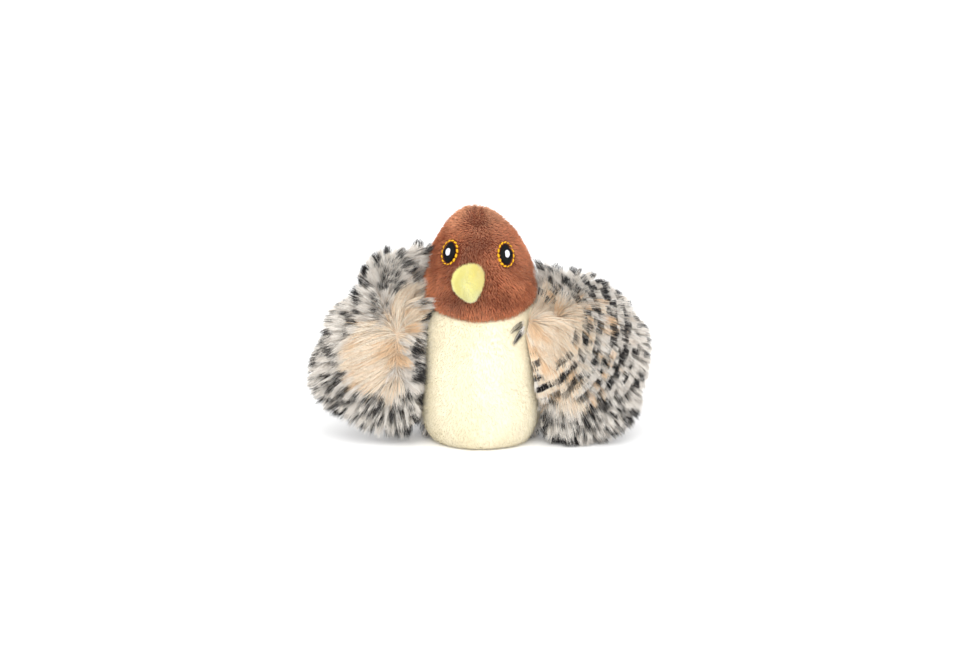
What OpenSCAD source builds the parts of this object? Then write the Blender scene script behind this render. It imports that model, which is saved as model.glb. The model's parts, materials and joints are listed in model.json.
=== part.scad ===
// Plush bird with flapping wings. A sewn body and head are stuffed around a
// battery flapping module; touch or motion makes the two furry wings beat.
// Millimetres. +Z is up, the bird faces -Y, and the origin is on the floor under its middle.

/* [Body] */
// Widest radius of the stuffed body
body_r = 25; // [24:0.5:27]
// Height of the widest part of the body
bulge_z = 25; // [18:1:32]
// Radius of the neck seam between body and head
neck_r = 21.5; // [20:0.5:23]
// Height of the neck seam
neck_z = 55.3; // [55:0.1:58]
// Rounding between the body's side and its base
base_round = 5; // [4:0.5:7]
// Thickness of the body and wing fabric with its backing
skin_t = 1.2; // [0.8:0.1:1.4]
// Thickness of the base fabric
base_t = 1.4; // [1.2:0.1:1.6]

/* [Head] */
// Widest radius of the head
head_r = 23.2; // [22:0.2:25]
// Height of the widest part of the head
cheek_z = 62; // [60:1:66]
// Height of the top of the head
head_top = 98; // [94:1:104]
// Thickness of the head's plush
head_skin = 1.6; // [1:0.1:2]

/* [Beak] */
// Angle of the beak to the bird's right, seen from above
beak_turn = -7; // [-12:1:0]
// Distance of the beak's tip from the bird's middle line
beak_reach = 32.5; // [30:0.5:36]
// Radius of the beak's tip
beak_tip_r = 1.6; // [1:0.1:2.2]
// Half of the distance between the beak's two corners
beak_half = 4.6; // [3.5:0.1:5.5]
// Thickness of the beak's plush
beak_skin = 1; // [0.6:0.1:1.2]

/* [Eyes] */
// Height of the embroidered eyes
eye_z = 80.4; // [76:0.2:84]
// Angle of the right and left eyes from straight ahead, seen from above
eye_turns = [-43, 37]; // [-45:1:45]
// Width of the black part of an eye
eye_w = 6.8; // [5:0.1:8]
// Height of the black part of an eye
eye_h = 8.6; // [7:0.1:10]
// Width of the stitched ring around an eye
eye_ring = 1.2; // [0.8:0.1:1.6]
// Lean of each eye towards the beak
eye_lean = 12; // [0:1:20]
// Height of the embroidery above the plush backing
stitch_t = 0.6; // [0.4:0.1:1]

/* [Wings] */
// Half of a wing pad's thickness
wing_half = 5.5; // [4.5:0.5:6]
// Distance of the wing pads' middle in front of the body's middle
wing_front = 7; // [6:0.5:8]
// Thickness of the plastic blade that stiffens a wing
blade_t = 1; // [0.8:0.1:1.2]
// Width of the blade
blade_w = 16; // [12:1:16]
// Distance of the blade's inner and outer ends from the wing's pivot
blade_span = [22, 47]; // [20:1:50]

/* [Base opening] */
// Width of the opening in the base
window_w = 24; // [20:1:25]
// Depth of the opening in the base, front to back
window_d = 22; // [20:1:22]
// Depth of the hook and loop strips, front to back
strip_d = 4.8; // [3:0.1:6]
// Thickness of each hook or loop strip
strip_t = 0.6; // [0.4:0.1:0.65]

/* [Module housing] */
// Width of the housing
housing_w = 32; // [32:0.5:33]
// Depth of the housing, front to back
housing_d = 29; // [29:0.5:30]
// Height of the housing's floor above the ground
housing_z = 3; // [3:0.1:3.5]
// Height of the housing's top above the ground
housing_top = 53.5; // [53.5:0.1:54]
// Radius of the housing's upright corners
housing_corner = 6; // [5:0.5:7]
// Wall thickness of the housing
wall = 1.5; // [1.2:0.1:1.5]
// Distance of the four screws from the middle
screw_x = 13; // [13:0.1:13.2]
// Heights of the lower and upper screws
screw_z = [12, 38]; // [12:1:38]
// Radius of the screws' shanks
screw_r = 0.9; // [0.8:0.05:1]

/* [Flap drive] */
// Distance of each wing's pivot from the middle
pivot_x = 11; // [11:0.1:11.2]
// Height of the wing pivots
pivot_z = 46; // [46:0.1:46.3]
// Angle that a wing hangs below level at rest, half of its stroke
rest_angle = 15; // [12:1:15]
// Radius of the pivot pins and of the crosshead's drive pin
pin_r = 1; // [0.9:0.05:1]
// Running clearance of the drive's bores on their pins
run_gap = 0.05; // [0.02:0.01:0.08]
// Half of the height of a rocker's arms
arm_half = 2; // [1.8:0.1:2.1]
// Thickness of a rocker's arms
arm_t = 1.5; // [1.2:0.1:1.5]
// Radius of the crank pin
crank_pin_r = 0.9; // [0.8:0.05:0.9]
// Clearance of the crank pin in the crosshead's slot
slot_gap = 0.7; // [0.65:0.05:0.75]
// Thickness of the crosshead
crosshead_t = 2.5; // [2:0.1:2.5]

/* [Gears] */
// Gear module
gear_m = 0.6; // [0.6:0.01:0.61]
// Pressure angle of the gears
pressure_angle = 25; // [20:1:25]
// Play between meshing teeth
backlash = 0.08; // [0.04:0.01:0.12]
// Teeth of the crank gear
crank_teeth = 30; // [30:1:30]
// Teeth of the idler's wheel
idler_teeth = 24; // [24:1:24]
// Teeth of the idler's pinion and of the motor's pinion
pinion_teeth = 10; // [10:1:10]
// Height of the crank's shaft
crank_z = 34; // [34:0.1:34.2]

/* [Electrics] */
// Width and height of the battery cell
cell_side = 20; // [18:0.5:20]
// Thickness of the battery cell
cell_t = 6; // [5:0.5:6]
// Radius of the motor's can
motor_r = 6; // [5:0.5:6]
// Length of the motor's can
motor_l = 8; // [7:0.5:8]
// Radius of the speaker
speaker_r = 7.2; // [6:0.2:7.2]
// Travel of the switch knob
switch_travel = 2; // [1.5:0.5:2]

/* [Hidden] */
$fn = 48;

BIG = 200;
SMOOTH = 28;      // facets of the soft parts' rounded corners
BANDS = 8;        // steps along each curved stretch of the body's and head's outlines

// A wing pad is drawn round these knots, each [distance from the middle, height].
WING_KNOTS = [[43, 66], [52, 50], [58.5, 28], [50, 16.5], [33, 15.5], [32, 42]];

// A beak is drawn round its two corners, its top, its middle and its tip,
// each [side, distance from the middle line, height, radius].
BEAK_KNOTS = [
  [0, 19.5, 76.2, 2.8], [-beak_half, 21, 71.5, 2.8], [beak_half, 21, 71.5, 2.8],
  [0, 26.5, 70.5, 3], [0, beak_reach - beak_tip_r, 65.4, beak_tip_r]
];

// The back fur reaches as far behind as the beak reaches in front.
back_shift = (beak_reach - beak_tip_r) * cos(beak_turn) + beak_tip_r - body_r;

// Layers of the flap drive along Y, front to back: [front face, back face]
front_in = -housing_d / 2 + wall;
rear_in = housing_d / 2 - wall;
crosshead_y = [-9 - crosshead_t, -9];
left_inner_y = [-7, -7 + arm_t];
right_inner_y = [-8.7, -8.7 + arm_t];
outer_arm_y = [-wing_front - 0.6, -wing_front - 0.6 + arm_t];
hub_y = [-8.7, -4];
crank_y = [-5, -3];
pinion_y = [-5.2, -2.8];
wheel_y = [-2.8, -1.3];
plate_y = [-1, 1];
blade_y = [outer_arm_y[1], outer_arm_y[1] + blade_t];
cell_y = [2.5, 2.5 + cell_t];
cell_z = [pivot_z + 2 - cell_side, pivot_z + 2];
board_y = [rear_in - 1.2, rear_in];

endcap_t = 1.2;
hub_r = 2.6;
boss_r = 2.4;
post_r = 2.2;
crank_r = pivot_x * tan(rest_angle);              // throw of the crank
drive_z = pivot_z + crank_r;                      // drive pin at rest
yoke_z = crank_z + crank_r;                       // crank pin at rest, top dead centre
yoke_half = crank_pin_r + slot_gap;               // half of the yoke slot's height
guide_x = 9.15;                                   // inner face of the crosshead's guides
guide_z = [26, 42];
arm_end = 12.7;                                   // inner arm's length from its pivot
arm_reach = 32;                                   // outer arm's length from its pivot
rivet_spots = [24.5, 29];
slot_y = [outer_arm_y[0] - 1, outer_arm_y[1] + 1];
slot_z = [pivot_z - 6.5, neck_z - 2.8];
arm_window_half = 4.2;

// Shaft centres in X and Z: the idler lies 60 degrees below level from the crank,
// and the motor 158 degrees below level from the idler.
crank_at = [0, crank_z];
idler_at = crank_at + polar(pitch_r(crank_teeth) + pitch_r(pinion_teeth), -60);
motor_at = idler_at + polar(pitch_r(idler_teeth) + pitch_r(pinion_teeth), -158);
shaft_r = [1, 0.8, 0.75];                         // crank, idler and motor shafts

plate_w = 20.6;                                   // gear plate and circuit board
plate_z = [8, 50];
ear_x = housing_w / 2 - wall - 0.1;               // half of the gear plate's width at its screws
motor_nose_r = 2;

speaker_at = [0, 18.5];
speaker_y = [front_in, front_in + 2.6];
usb_at = [4.5, board_y[0] - 1.6];
usb_size = [9, 3.2, 7.3];
switch_at = [-6, board_y[0] - 1.75];
knob_size = [1.6, 1.4];
slider_size = [3, 2.4];
board_z = [5, 27];
chip_at = [-8, 16.5];                             // the sound chip's corner
chip_side = 5;
sensor_at = [8, board_y[0] - 2, 15];              // lower end of the motion sensor
sensor_l = 7;
lead_r = 0.4;
motor_lead = [2.5, 23];                           // side of the motor's middle, and height
battery_lead = [3, 5.5, 26.4];                    // side, distance behind the middle, height at the board
speaker_lead_z = [18, 20];
hinge_y = 1 + window_d / 2 - 0.8;                 // closure flap's hinge line
hinge_z = 0.8;
flap_t = 1.2;
edge_gap = 0.3;
strip_w = window_w - 2;
window_y = [1 - window_d / 2, 1 + window_d / 2];

// ---- small tools ----
function polar(r, a) = [r * cos(a), r * sin(a)];
function pitch_r(teeth) = gear_m * teeth / 2;

// Extrudes an outline drawn in X and Z through the layer y[0] to y[1].
module slab(y) translate([0, y[1], 0]) rotate([90, 0, 0]) linear_extrude(y[1] - y[0]) children();

module disc(at, r) translate(at) circle(r);

module round_rect(w, d, r) {
  square([w - 2 * r, d], center = true);
  square([w, d - 2 * r], center = true);
  for (x = [-1, 1], y = [-1, 1]) translate([x * (w / 2 - r), y * (d / 2 - r)]) circle(r);
}

module front_half() intersection() {
  children();
  translate([-BIG, -BIG, -BIG]) cube([2 * BIG, BIG, 2 * BIG]);
}

module rear_half() intersection() {
  children();
  translate([-BIG, 0, -BIG]) cube([2 * BIG, BIG, 2 * BIG]);
}

module above(z) intersection() {
  children();
  translate([-BIG, -BIG, z]) cube([2 * BIG, 2 * BIG, BIG]);
}

// A wire of round section through the given points.
module wire(points, r) {
  for (i = [1 : len(points) - 1]) {
    d = points[i] - points[i - 1];
    translate(points[i - 1]) rotate([0, acos(d.z / norm(d)), atan2(d.y, d.x)])
      cylinder(h = norm(d), r = r, $fn = 16);
    if (i < len(points) - 1) translate(points[i]) sphere(r, $fn = 16);
  }
}

// ---- body shapes ----
function barrel_r(z) = body_r - (body_r - neck_r) * pow((z - bulge_z) / (neck_z - bulge_z), 2);

// Outline of the body, drawn in by inset from the fabric's outside.
function body_outline(inset) = let (c = barrel_r(base_round) - base_round, r = base_round - inset) concat(
  [[0, base_round - r]],
  [for (i = [0 : 4]) [c + r * sin(i * 22.5), base_round - r * cos(i * 22.5)]],
  [for (i = [1 : BANDS]) let (z = base_round + (neck_z - base_round) * i / BANDS) [barrel_r(z) - inset, z]],
  [[0, neck_z]]
);

module body_solid(inset = 0) rotate_extrude() polygon(body_outline(inset));

// The rear of the body with its pile: the body's outline carried straight back, then round.
module back_solid() {
  translate([0, back_shift, 0]) rotate_extrude(angle = 180) polygon(body_outline(0));
  slab([0, back_shift]) {
    polygon(body_outline(0));
    mirror([1, 0]) polygon(body_outline(0));
  }
}

function cheek_r(z) = neck_r + (head_r - neck_r) * sin(90 * (z - neck_z) / (cheek_z - neck_z));
function dome_r(t) = head_r * pow(1 - pow(t, 1.75), 0.55);

// Outline of the head, drawn in by inset, from the height low up to its top.
function head_outline(inset, low) = concat(
  [[0, low], [neck_r - inset, low]],
  [for (i = [low < neck_z ? 0 : 1 : BANDS / 2]) let (z = neck_z + (cheek_z - neck_z) * i / (BANDS / 2))
    [cheek_r(z) - inset, z]],
  [for (i = [1 : 2 * BANDS]) let (t = sin(90 * i / (2 * BANDS)), s = 1 - inset / head_r)
    [dome_r(t) * s, cheek_z + (head_top - inset - cheek_z) * t]]
);

module head_solid(inset = 0, low = neck_z) rotate_extrude() polygon(head_outline(inset, low));

module beak_solid(inset) rotate([0, 0, beak_turn]) hull()
  for (k = BEAK_KNOTS) translate([k[0], -k[1], k[2]]) sphere(k[3] - inset, $fn = SMOOTH);

// An eye outline, pointed at top and bottom: two arcs of width w and height h.
module almond(w, h) {
  r = (w * w + h * h) / (4 * w);
  intersection() {
    translate([w / 2 - r, 0]) circle(r);
    translate([r - w / 2, 0]) circle(r);
  }
}

// A flat outline pressed onto the head's surface at both eyes, stitch_t high from height rise.
module on_eyes(rise) intersection() {
  for (turn = eye_turns) rotate([0, 0, turn]) translate([0, 0, eye_z])
    slab([-head_r - 5, -10]) rotate(-sign(turn) * eye_lean) children();
  difference() {
    head_solid(-rise - stitch_t);
    head_solid(-rise);
  }
}

// ---- sewn parts ----
module belly_panel() color("ivory") difference() {
  above(base_t) front_half() difference() {
    body_solid();
    body_solid(skin_t);
  }
  arm_slots();
}

module back_panel() color("silver") above(base_t) rear_half() difference() {
  back_solid();
  body_solid(skin_t);
}

module base_panel() color("ivory") difference() {
  intersection() {
    body_solid();
    translate([-BIG, -BIG, 0]) cube([2 * BIG, 2 * BIG, base_t]);
  }
  translate([-window_w / 2, window_y[0], -1]) cube([window_w, window_d, base_t + 2]);
}

module closure_flap() color("ivory") {
  translate([-window_w / 2 + edge_gap, window_y[0] + edge_gap, hinge_z - flap_t / 2])
    cube([window_w - 2 * edge_gap, hinge_y - window_y[0] - edge_gap, flap_t]);
  translate([-window_w / 2 + edge_gap, hinge_y, hinge_z]) rotate([0, 90, 0])
    cylinder(h = window_w - 2 * edge_gap, r = flap_t / 2);
}

module hook_strip() color("dimgray")
  translate([-strip_w / 2, window_y[0] + 2 * edge_gap, hinge_z + flap_t / 2]) cube([strip_w, strip_d, strip_t]);

module loop_strip() color("dimgray") {
  front = window_y[0] - 4;
  translate([-strip_w / 2, front, base_t]) cube([strip_w, 4 - edge_gap, strip_t + 0.05]);
  translate([-strip_w / 2, front, base_t + strip_t + 0.05]) cube([strip_w, 4 + 2 * edge_gap + strip_d, strip_t]);
}

module body_stuffing() color("white") difference() {
  above(base_t) body_solid(skin_t);
  module_pocket();
  arm_slots();
}

// The room that the module takes, open at the base.
module module_pocket() translate([0, 0, -1]) linear_extrude(housing_top + 1)
  round_rect(housing_w, housing_d, housing_corner);

// The room that both outer arms sweep through the body's side.
module arm_slots() translate([-BIG, slot_y[0], slot_z[0]])
  cube([2 * BIG, slot_y[1] - slot_y[0], slot_z[1] - slot_z[0]]);

module head_cover() color("sienna") difference() {
  head_solid();
  head_solid(head_skin, neck_z - 1);
}

module head_stuffing() color("white") head_solid(head_skin);

module beak_cover() color("khaki") difference() {
  beak_solid(0);
  beak_solid(beak_skin);
  head_solid();
}

module beak_stuffing() color("white") difference() {
  beak_solid(beak_skin);
  head_solid();
}

module eye_pupils() color("black") on_eyes(0) almond(eye_w, eye_h);

module eye_rings() color("goldenrod") on_eyes(0) difference() {
  almond(eye_w + 2 * eye_ring, eye_h + 2 * eye_ring);
  almond(eye_w + 0.2, eye_h + 0.2);
}

module eye_highlights() color("white") on_eyes(stitch_t) circle(eye_w * 0.3);

// ---- wings: drawn for the left side, mirrored for the right ----
module left() children();
module right() mirror([1, 0, 0]) children();

module wing_solid(inset) hull()
  for (k = WING_KNOTS) translate([-k[0], -wing_front, k[1]]) sphere(wing_half - inset, $fn = 20);

// The left rocker's own frame: the pivot is the origin and -X runs along the outer arm.
module in_arm() translate([-pivot_x, 0, pivot_z]) rotate([0, -rest_angle, 0]) children();

// The room for a rocker's outer arm through a wing's fabric and filling.
module arm_room() in_arm()
  translate([-arm_reach - 3, outer_arm_y[0] - 0.5, -arm_half - 0.1])
    cube([arm_reach + 3, blade_y[1] - outer_arm_y[0] + 1, 2 * arm_half + 0.2]);

module wing_front_skin() color("linen") difference() {
  translate([0, -wing_front, 0]) front_half() translate([0, wing_front, 0]) wing_solid(0);
  wing_solid(skin_t);
  arm_room();
}

module wing_back_skin() color("silver") difference() {
  translate([0, -wing_front, 0]) rear_half() translate([0, wing_front, 0]) wing_solid(0);
  wing_solid(skin_t);
  arm_room();
}

module blade_room() in_arm() slab([blade_y[0] - 0.01, blade_y[1]]) blade_outline();

module wing_filling() color("white") difference() {
  wing_solid(skin_t);
  arm_room();
  blade_room();
}

module blade_outline() translate([-(blade_span[0] + blade_span[1]) / 2, 0])
  round_rect(blade_span[1] - blade_span[0], blade_w, 4);

module blade() color("white") in_arm() slab(blade_y) difference() {
  blade_outline();
  for (x = rivet_spots) disc([-x, 0], 0.8);
}

// The rivets that hold a blade on its arm: a shank and two heads each.
module rivets() color("silver") in_arm() for (x = rivet_spots) {
  slab([outer_arm_y[0], blade_y[1]]) disc([-x, 0], 0.8);
  for (y = [outer_arm_y[0] - 0.4, blade_y[1]]) slab([y, y + 0.4]) disc([-x, 0], 1.4);
}

// A rocker: hub on the pivot pin, outer arm into the wing, forked inner arm in its own layer.
module rocker(inner_y) color("white") in_arm() {
  slab(hub_y) difference() {
    circle(hub_r);
    circle(pin_r + run_gap);
  }
  slab(outer_arm_y) difference() {
    union() {
      translate([-arm_reach, -arm_half]) square([arm_reach, 2 * arm_half]);
      disc([-arm_reach, 0], arm_half);
    }
    circle(hub_r - 0.3);
    for (x = rivet_spots) disc([-x, 0], 0.8);
  }
  slab(inner_y) difference() {
    translate([0, -arm_half - 0.1]) square([arm_end, 2 * arm_half + 0.2]);
    circle(hub_r - 0.3);
    translate([pivot_x - pin_r - 0.3, -pin_r - 0.1]) square([arm_end, 2 * pin_r + 0.2]);
  }
}

module left_wing_front() left() wing_front_skin();
module left_wing_back() left() wing_back_skin();
module left_wing_wadding() left() wing_filling();
module left_wing_blade() left() blade();
module left_rocker() left() rocker(left_inner_y);
module left_blade_rivets() left() rivets();
module right_wing_front() right() wing_front_skin();
module right_wing_back() right() wing_back_skin();
module right_wing_wadding() right() wing_filling();
module right_wing_blade() right() blade();
module right_rocker() right() rocker(right_inner_y);
module right_blade_rivets() right() rivets();

// ---- crosshead and gears ----
module crosshead() color("white") slab(crosshead_y) difference() {
  union() {
    translate([-9, yoke_z - yoke_half - 2]) square([18, 2 * yoke_half + 4]);
    translate([-2.5, yoke_z]) square([5, drive_z - yoke_z]);
    disc([0, drive_z], 2.5);
  }
  translate([-crank_r - crank_pin_r - 0.4, yoke_z - yoke_half])
    square([2 * (crank_r + crank_pin_r + 0.4), 2 * yoke_half]);
  disc([0, drive_z], pin_r);
}

module drive_pin() color("silver") slab([crosshead_y[0], left_inner_y[1] + 0.2]) disc([0, drive_z], pin_r);

function involute(a) = tan(a) * 180 / PI - a;

// Half of a tooth's angle at radius r.
function tooth_half(teeth, r) = let (p = pitch_r(teeth), base = p * cos(pressure_angle))
  90 / teeth - backlash / p * 45 / PI + involute(pressure_angle) - involute(acos(min(1, base / r)));

// Outline of a gear with its first tooth at angle 0.
function gear_outline(teeth) = let (
  p = pitch_r(teeth), root = p - 1.05 * gear_m, tip = p + 0.8 * gear_m,
  flank = max(root, p * cos(pressure_angle)),
  radii = concat([root], [for (i = [0 : 4]) flank + (tip - flank) * i / 4])
) [for (k = [0 : teeth - 1], side = [-1, 1], i = [0 : 5])
    let (r = radii[side < 0 ? i : 5 - i]) polar(r, 360 * k / teeth + side * tooth_half(teeth, max(r, flank)))];

// A gear of the given teeth about a shaft, turned so that it meshes.
module gear(teeth, at, turn, y, bore) slab(y) difference() {
  translate(at) rotate(turn) polygon(gear_outline(teeth));
  disc(at, bore);
}

module crank_gear() color("white") {
  difference() {
    gear(crank_teeth, crank_at, 0, crank_y, shaft_r[0] + run_gap);
    slab(crank_y) disc(crank_at + [0, crank_r], crank_pin_r);
  }
  slab([crank_y[1], plate_y[0] - 0.2]) difference() {
    disc(crank_at, post_r);
    disc(crank_at, shaft_r[0] + run_gap);
  }
}

module crank_pin() color("silver") slab([crosshead_y[0] + 0.2, crank_y[1]]) disc(crank_at + [0, crank_r], crank_pin_r);

module idler_gear() color("white") {
  gear(pinion_teeth, idler_at, 30, pinion_y, shaft_r[1] + run_gap);
  gear(idler_teeth, idler_at, 7, wheel_y, shaft_r[1] + run_gap);
}

module motor_pinion() color("gold") gear(pinion_teeth, motor_at, 4, wheel_y, shaft_r[2]);

module motor_shaft() color("silver") slab([wheel_y[0] - 0.4, plate_y[1] + 2.5]) disc(motor_at, shaft_r[2]);

module crank_shaft() color("silver") slab([crank_y[0] - 0.6, plate_y[1]]) disc(crank_at, shaft_r[0]);

module idler_shaft() color("silver") slab([pinion_y[0] - 0.6, plate_y[1]]) disc(idler_at, shaft_r[1]);

// Push-on clips that keep the two gears on their shafts.
module shaft_clips() color("dimgray") {
  slab([crank_y[0] - 0.5, crank_y[0] - 0.1]) difference() {
    disc(crank_at, 1.8);
    disc(crank_at, shaft_r[0]);
  }
  slab([pinion_y[0] - 0.5, pinion_y[0] - 0.1]) difference() {
    disc(idler_at, 1.8);
    disc(idler_at, shaft_r[1]);
  }
}

// ---- housing ----
function screw_spots() = [for (x = [-screw_x, screw_x], z = screw_z) [x, z]];

module housing_block(inset) translate([0, 0, housing_z + inset])
  linear_extrude(housing_top - housing_z - 2 * inset)
    round_rect(housing_w - 2 * inset, housing_d - 2 * inset, housing_corner - inset);

module housing_wall() difference() {
  housing_block(0);
  housing_block(wall);
}

module housing_front() color("gainsboro") difference() {
  intersection() {
    union() {
      front_half() housing_wall();
      for (p = screw_spots()) slab([front_in - 0.5, plate_y[0]]) disc(p, boss_r);
      for (x = [-1, 1]) {
        slab([front_in - 0.5, crosshead_y[1]]) disc([x * pivot_x, pivot_z], post_r);
        slab([front_in - 0.5, crosshead_y[1]]) guide(x, guide_x, 1.5);
        slab([front_in - 0.5, crosshead_y[0] - 0.1]) guide(x, 6, 2.6);
      }
    }
    housing_block(0);
  }
  for (p = screw_spots()) slab([plate_y[0] - 6.5, plate_y[0] + 1]) disc(p, screw_r);
  for (x = [-1, 1]) slab([front_in - 1, crosshead_y[1] + 1]) disc([x * pivot_x, pivot_z], pin_r);
  arm_windows();
  slab([-housing_d, front_in + 0.1]) sound_holes();
}

// A guide rib beside or in front of the crosshead: its inner edge and its width.
module guide(side, x, w) translate([side * (x + w / 2) - w / 2, guide_z[0]]) square([w, guide_z[1] - guide_z[0]]);

module sound_holes() {
  disc(speaker_at, 0.8);
  for (a = [0 : 60 : 300]) disc(speaker_at + polar(3, a), 0.8);
}

// The slots in the housing's sides that both outer arms pass through.
module arm_windows() translate([-housing_w, slot_y[0], pivot_z - arm_window_half])
  cube([2 * housing_w, slot_y[1] - slot_y[0], 2 * arm_window_half]);

module housing_rear() color("gainsboro") difference() {
  intersection() {
    union() {
      rear_half() housing_wall();
      for (p = screw_spots()) slab([plate_y[1], rear_in + 0.5]) disc(p, boss_r);
      for (x = [-6, 6]) slab([cell_y[1], rear_in + 0.5]) translate([x - 0.5, 30]) square([1, 16]);
    }
    housing_block(0);
  }
  for (p = screw_spots()) {
    slab([plate_y[1] - 1, rear_in]) disc(p, screw_r + 0.2);
    slab([9, housing_d]) disc(p, 1.9);
  }
  translate([usb_at.x, usb_at.y, housing_z - 1]) linear_extrude(wall + 2)
    round_rect(usb_size.x + 0.4, usb_size.y + 0.4, 1.6);
  translate([switch_at.x, switch_at.y, housing_z - 1]) linear_extrude(wall + 2)
    square([knob_size.x + switch_travel + 0.5, knob_size.y + 0.5], center = true);
}

module housing_screws() color("silver") for (p = screw_spots()) {
  slab([plate_y[0] - 6, 9]) disc(p, screw_r);
  slab([9, 10.2]) difference() {
    disc(p, 1.7);
    translate(p) square([2.4, 0.5], center = true);
  }
}

module gear_plate() color("white") {
  slab(plate_y) difference() {
    union() {
      translate([-plate_w / 2, plate_z[0]]) square([plate_w, plate_z[1] - plate_z[0]]);
      for (z = screw_z) translate([-ear_x, z - boss_r]) square([2 * ear_x, 2 * boss_r]);
      for (x = [-1, 1]) disc([x * pivot_x, pivot_z], post_r);
    }
    for (p = screw_spots()) disc(p, screw_r + 0.2);
    plate_holes();
    disc(motor_at, motor_nose_r);
  }
  slab([hub_y[1] + 0.2, plate_y[0]]) difference() {
    for (x = [-1, 1]) disc([x * pivot_x, pivot_z], post_r);
    plate_holes();
  }
}

// The holes that the pivot pins and the shafts are pressed into.
module plate_holes() {
  for (x = [-1, 1]) disc([x * pivot_x, pivot_z], pin_r);
  disc(crank_at, shaft_r[0]);
  disc(idler_at, shaft_r[1]);
}

module rocker_pins() color("silver") for (x = [-1, 1])
  slab([front_in - 1, plate_y[1]]) disc([x * pivot_x, pivot_z], pin_r);

// ---- electrics ----
module motor_can() color("silver") slab([plate_y[1], plate_y[1] + motor_l]) difference() {
  intersection() {
    disc(motor_at, motor_r);
    translate(motor_at) square([3 * motor_r, 2 * motor_r - 2], center = true);
  }
  disc(motor_at, shaft_r[2] + run_gap);
}

module motor_endcap() color("ivory") slab([plate_y[1] + motor_l, plate_y[1] + motor_l + endcap_t]) intersection() {
  disc(motor_at, motor_r - 0.4);
  translate(motor_at) square([3 * motor_r, 2 * motor_r - 3], center = true);
}

module battery_cell() color("lightgray") slab(cell_y) translate([0, (cell_z[0] + cell_z[1]) / 2])
  round_rect(cell_side, cell_side, 1.5);

module battery_foam() color("dimgray") slab([plate_y[1], cell_y[0]]) translate([0, (cell_z[0] + cell_z[1]) / 2])
  square([cell_side - 4, cell_side - 4], center = true);

module circuit_board() color("darkgreen") slab(board_y) translate([-plate_w / 2, board_z[0]])
  square([plate_w, board_z[1] - board_z[0]]);

module sound_chip() color("black") slab([board_y[0] - 1, board_y[0]]) translate(chip_at) square(chip_side);

module usb_socket() color("silver") translate([usb_at.x, usb_at.y, housing_z + 0.2]) {
  difference() {
    linear_extrude(usb_size.z) round_rect(usb_size.x, usb_size.y, 1.5);
    translate([0, 0, -1]) linear_extrude(usb_size.z) round_rect(usb_size.x - 0.6, usb_size.y - 0.6, 1.2);
  }
  translate([0, 0, 1]) linear_extrude(usb_size.z - 1) square([6.6, 0.7], center = true);
}

module switch_body() color("dimgray") translate([switch_at.x, switch_at.y, housing_z + wall + 0.2]) difference() {
  translate([-3.5, -1.75, 0]) cube([7, 3.5, 4]);
  translate([0, 0, 1.85]) cube([slider_size.x + switch_travel + 0.2, slider_size.y + 0.2, 1.7], center = true);
  translate([0, 0, 0.5]) cube([knob_size.x + switch_travel + 0.2, knob_size.y + 0.2, 2], center = true);
}

// The knob at its off end, with the slider that the switch body holds.
module switch_knob() color("white") translate([switch_at.x - switch_travel / 2, switch_at.y, 0]) {
  translate([-knob_size.x / 2, -knob_size.y / 2, 2.2]) cube([knob_size.x, knob_size.y, 3.6]);
  translate([-slider_size.x / 2, -slider_size.y / 2, 5.8]) cube([slider_size.x, slider_size.y, 1.5]);
}

module motion_sensor() color("silver") {
  translate(sensor_at) cylinder(h = sensor_l, r = 2);
  for (z = [sensor_at.z - 0.5, sensor_at.z + sensor_l + 0.5]) wire([
    [sensor_at.x, sensor_at.y, sensor_at.z + sensor_l / 2], [sensor_at.x, sensor_at.y, z],
    [sensor_at.x, board_y[0], z]
  ], 0.3);
}

module speaker_frame() color("silver") {
  slab(speaker_y) difference() {
    disc(speaker_at, speaker_r);
    disc(speaker_at, speaker_r - 1.2);
  }
  slab([speaker_y[1], speaker_y[1] + 0.5]) disc(speaker_at, speaker_r);
  slab([speaker_y[1] + 0.5, speaker_y[1] + 2]) disc(speaker_at, 3.8);
}

module speaker_cone() color("dimgray") translate([speaker_at.x, speaker_y[1], speaker_at[1]]) rotate([90, 0, 0])
  difference() {
    cylinder(h = 1.8, r1 = 2, r2 = speaker_r - 1.2);
    translate([0, 0, 0.4]) cylinder(h = 1.8, r1 = 2, r2 = speaker_r - 1.2);
  }

module motor_leads() color("red") for (x = [-motor_lead[0], motor_lead[0]]) wire([
  [motor_at.x + x, plate_y[1] + motor_l + endcap_t, motor_lead[1]], [motor_at.x + x, board_y[0], motor_lead[1]]
], lead_r);

module battery_leads() color("red") for (x = [-battery_lead[0], battery_lead[0]]) wire([
  [x, battery_lead[1], cell_z[0]], [x, battery_lead[1], battery_lead[2]], [x, board_y[0], battery_lead[2]]
], lead_r);

// The speaker's leads run round the gears along the housing's side to the board.
module speaker_leads() color("firebrick") for (z = speaker_lead_z) wire([
  [-6, speaker_y[1] + 0.5, z], [-6, -9.2, z], [-12.2, -9.2, z], [-12.2, 9, z], [-10, 9, z], [-10, board_y[0], z]
], lead_r);

belly_panel();
back_panel();
base_panel();
loop_strip();
body_stuffing();
head_cover();
head_stuffing();
beak_cover();
beak_stuffing();
eye_pupils();
eye_rings();
eye_highlights();
housing_front();
housing_rear();
housing_screws();
gear_plate();
rocker_pins();
crank_shaft();
idler_shaft();
shaft_clips();
motor_can();
motor_endcap();
battery_cell();
battery_foam();
circuit_board();
sound_chip();
usb_socket();
switch_body();
motion_sensor();
speaker_frame();
speaker_cone();
motor_leads();
battery_leads();
speaker_leads();
left_wing_front();
left_wing_back();
left_wing_wadding();
left_wing_blade();
left_rocker();
left_blade_rivets();
right_wing_front();
right_wing_back();
right_wing_wadding();
right_wing_blade();
right_rocker();
right_blade_rivets();
crosshead();
drive_pin();
crank_gear();
crank_pin();
idler_gear();
motor_shaft();
motor_pinion();
switch_knob();
closure_flap();
hook_strip();
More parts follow.
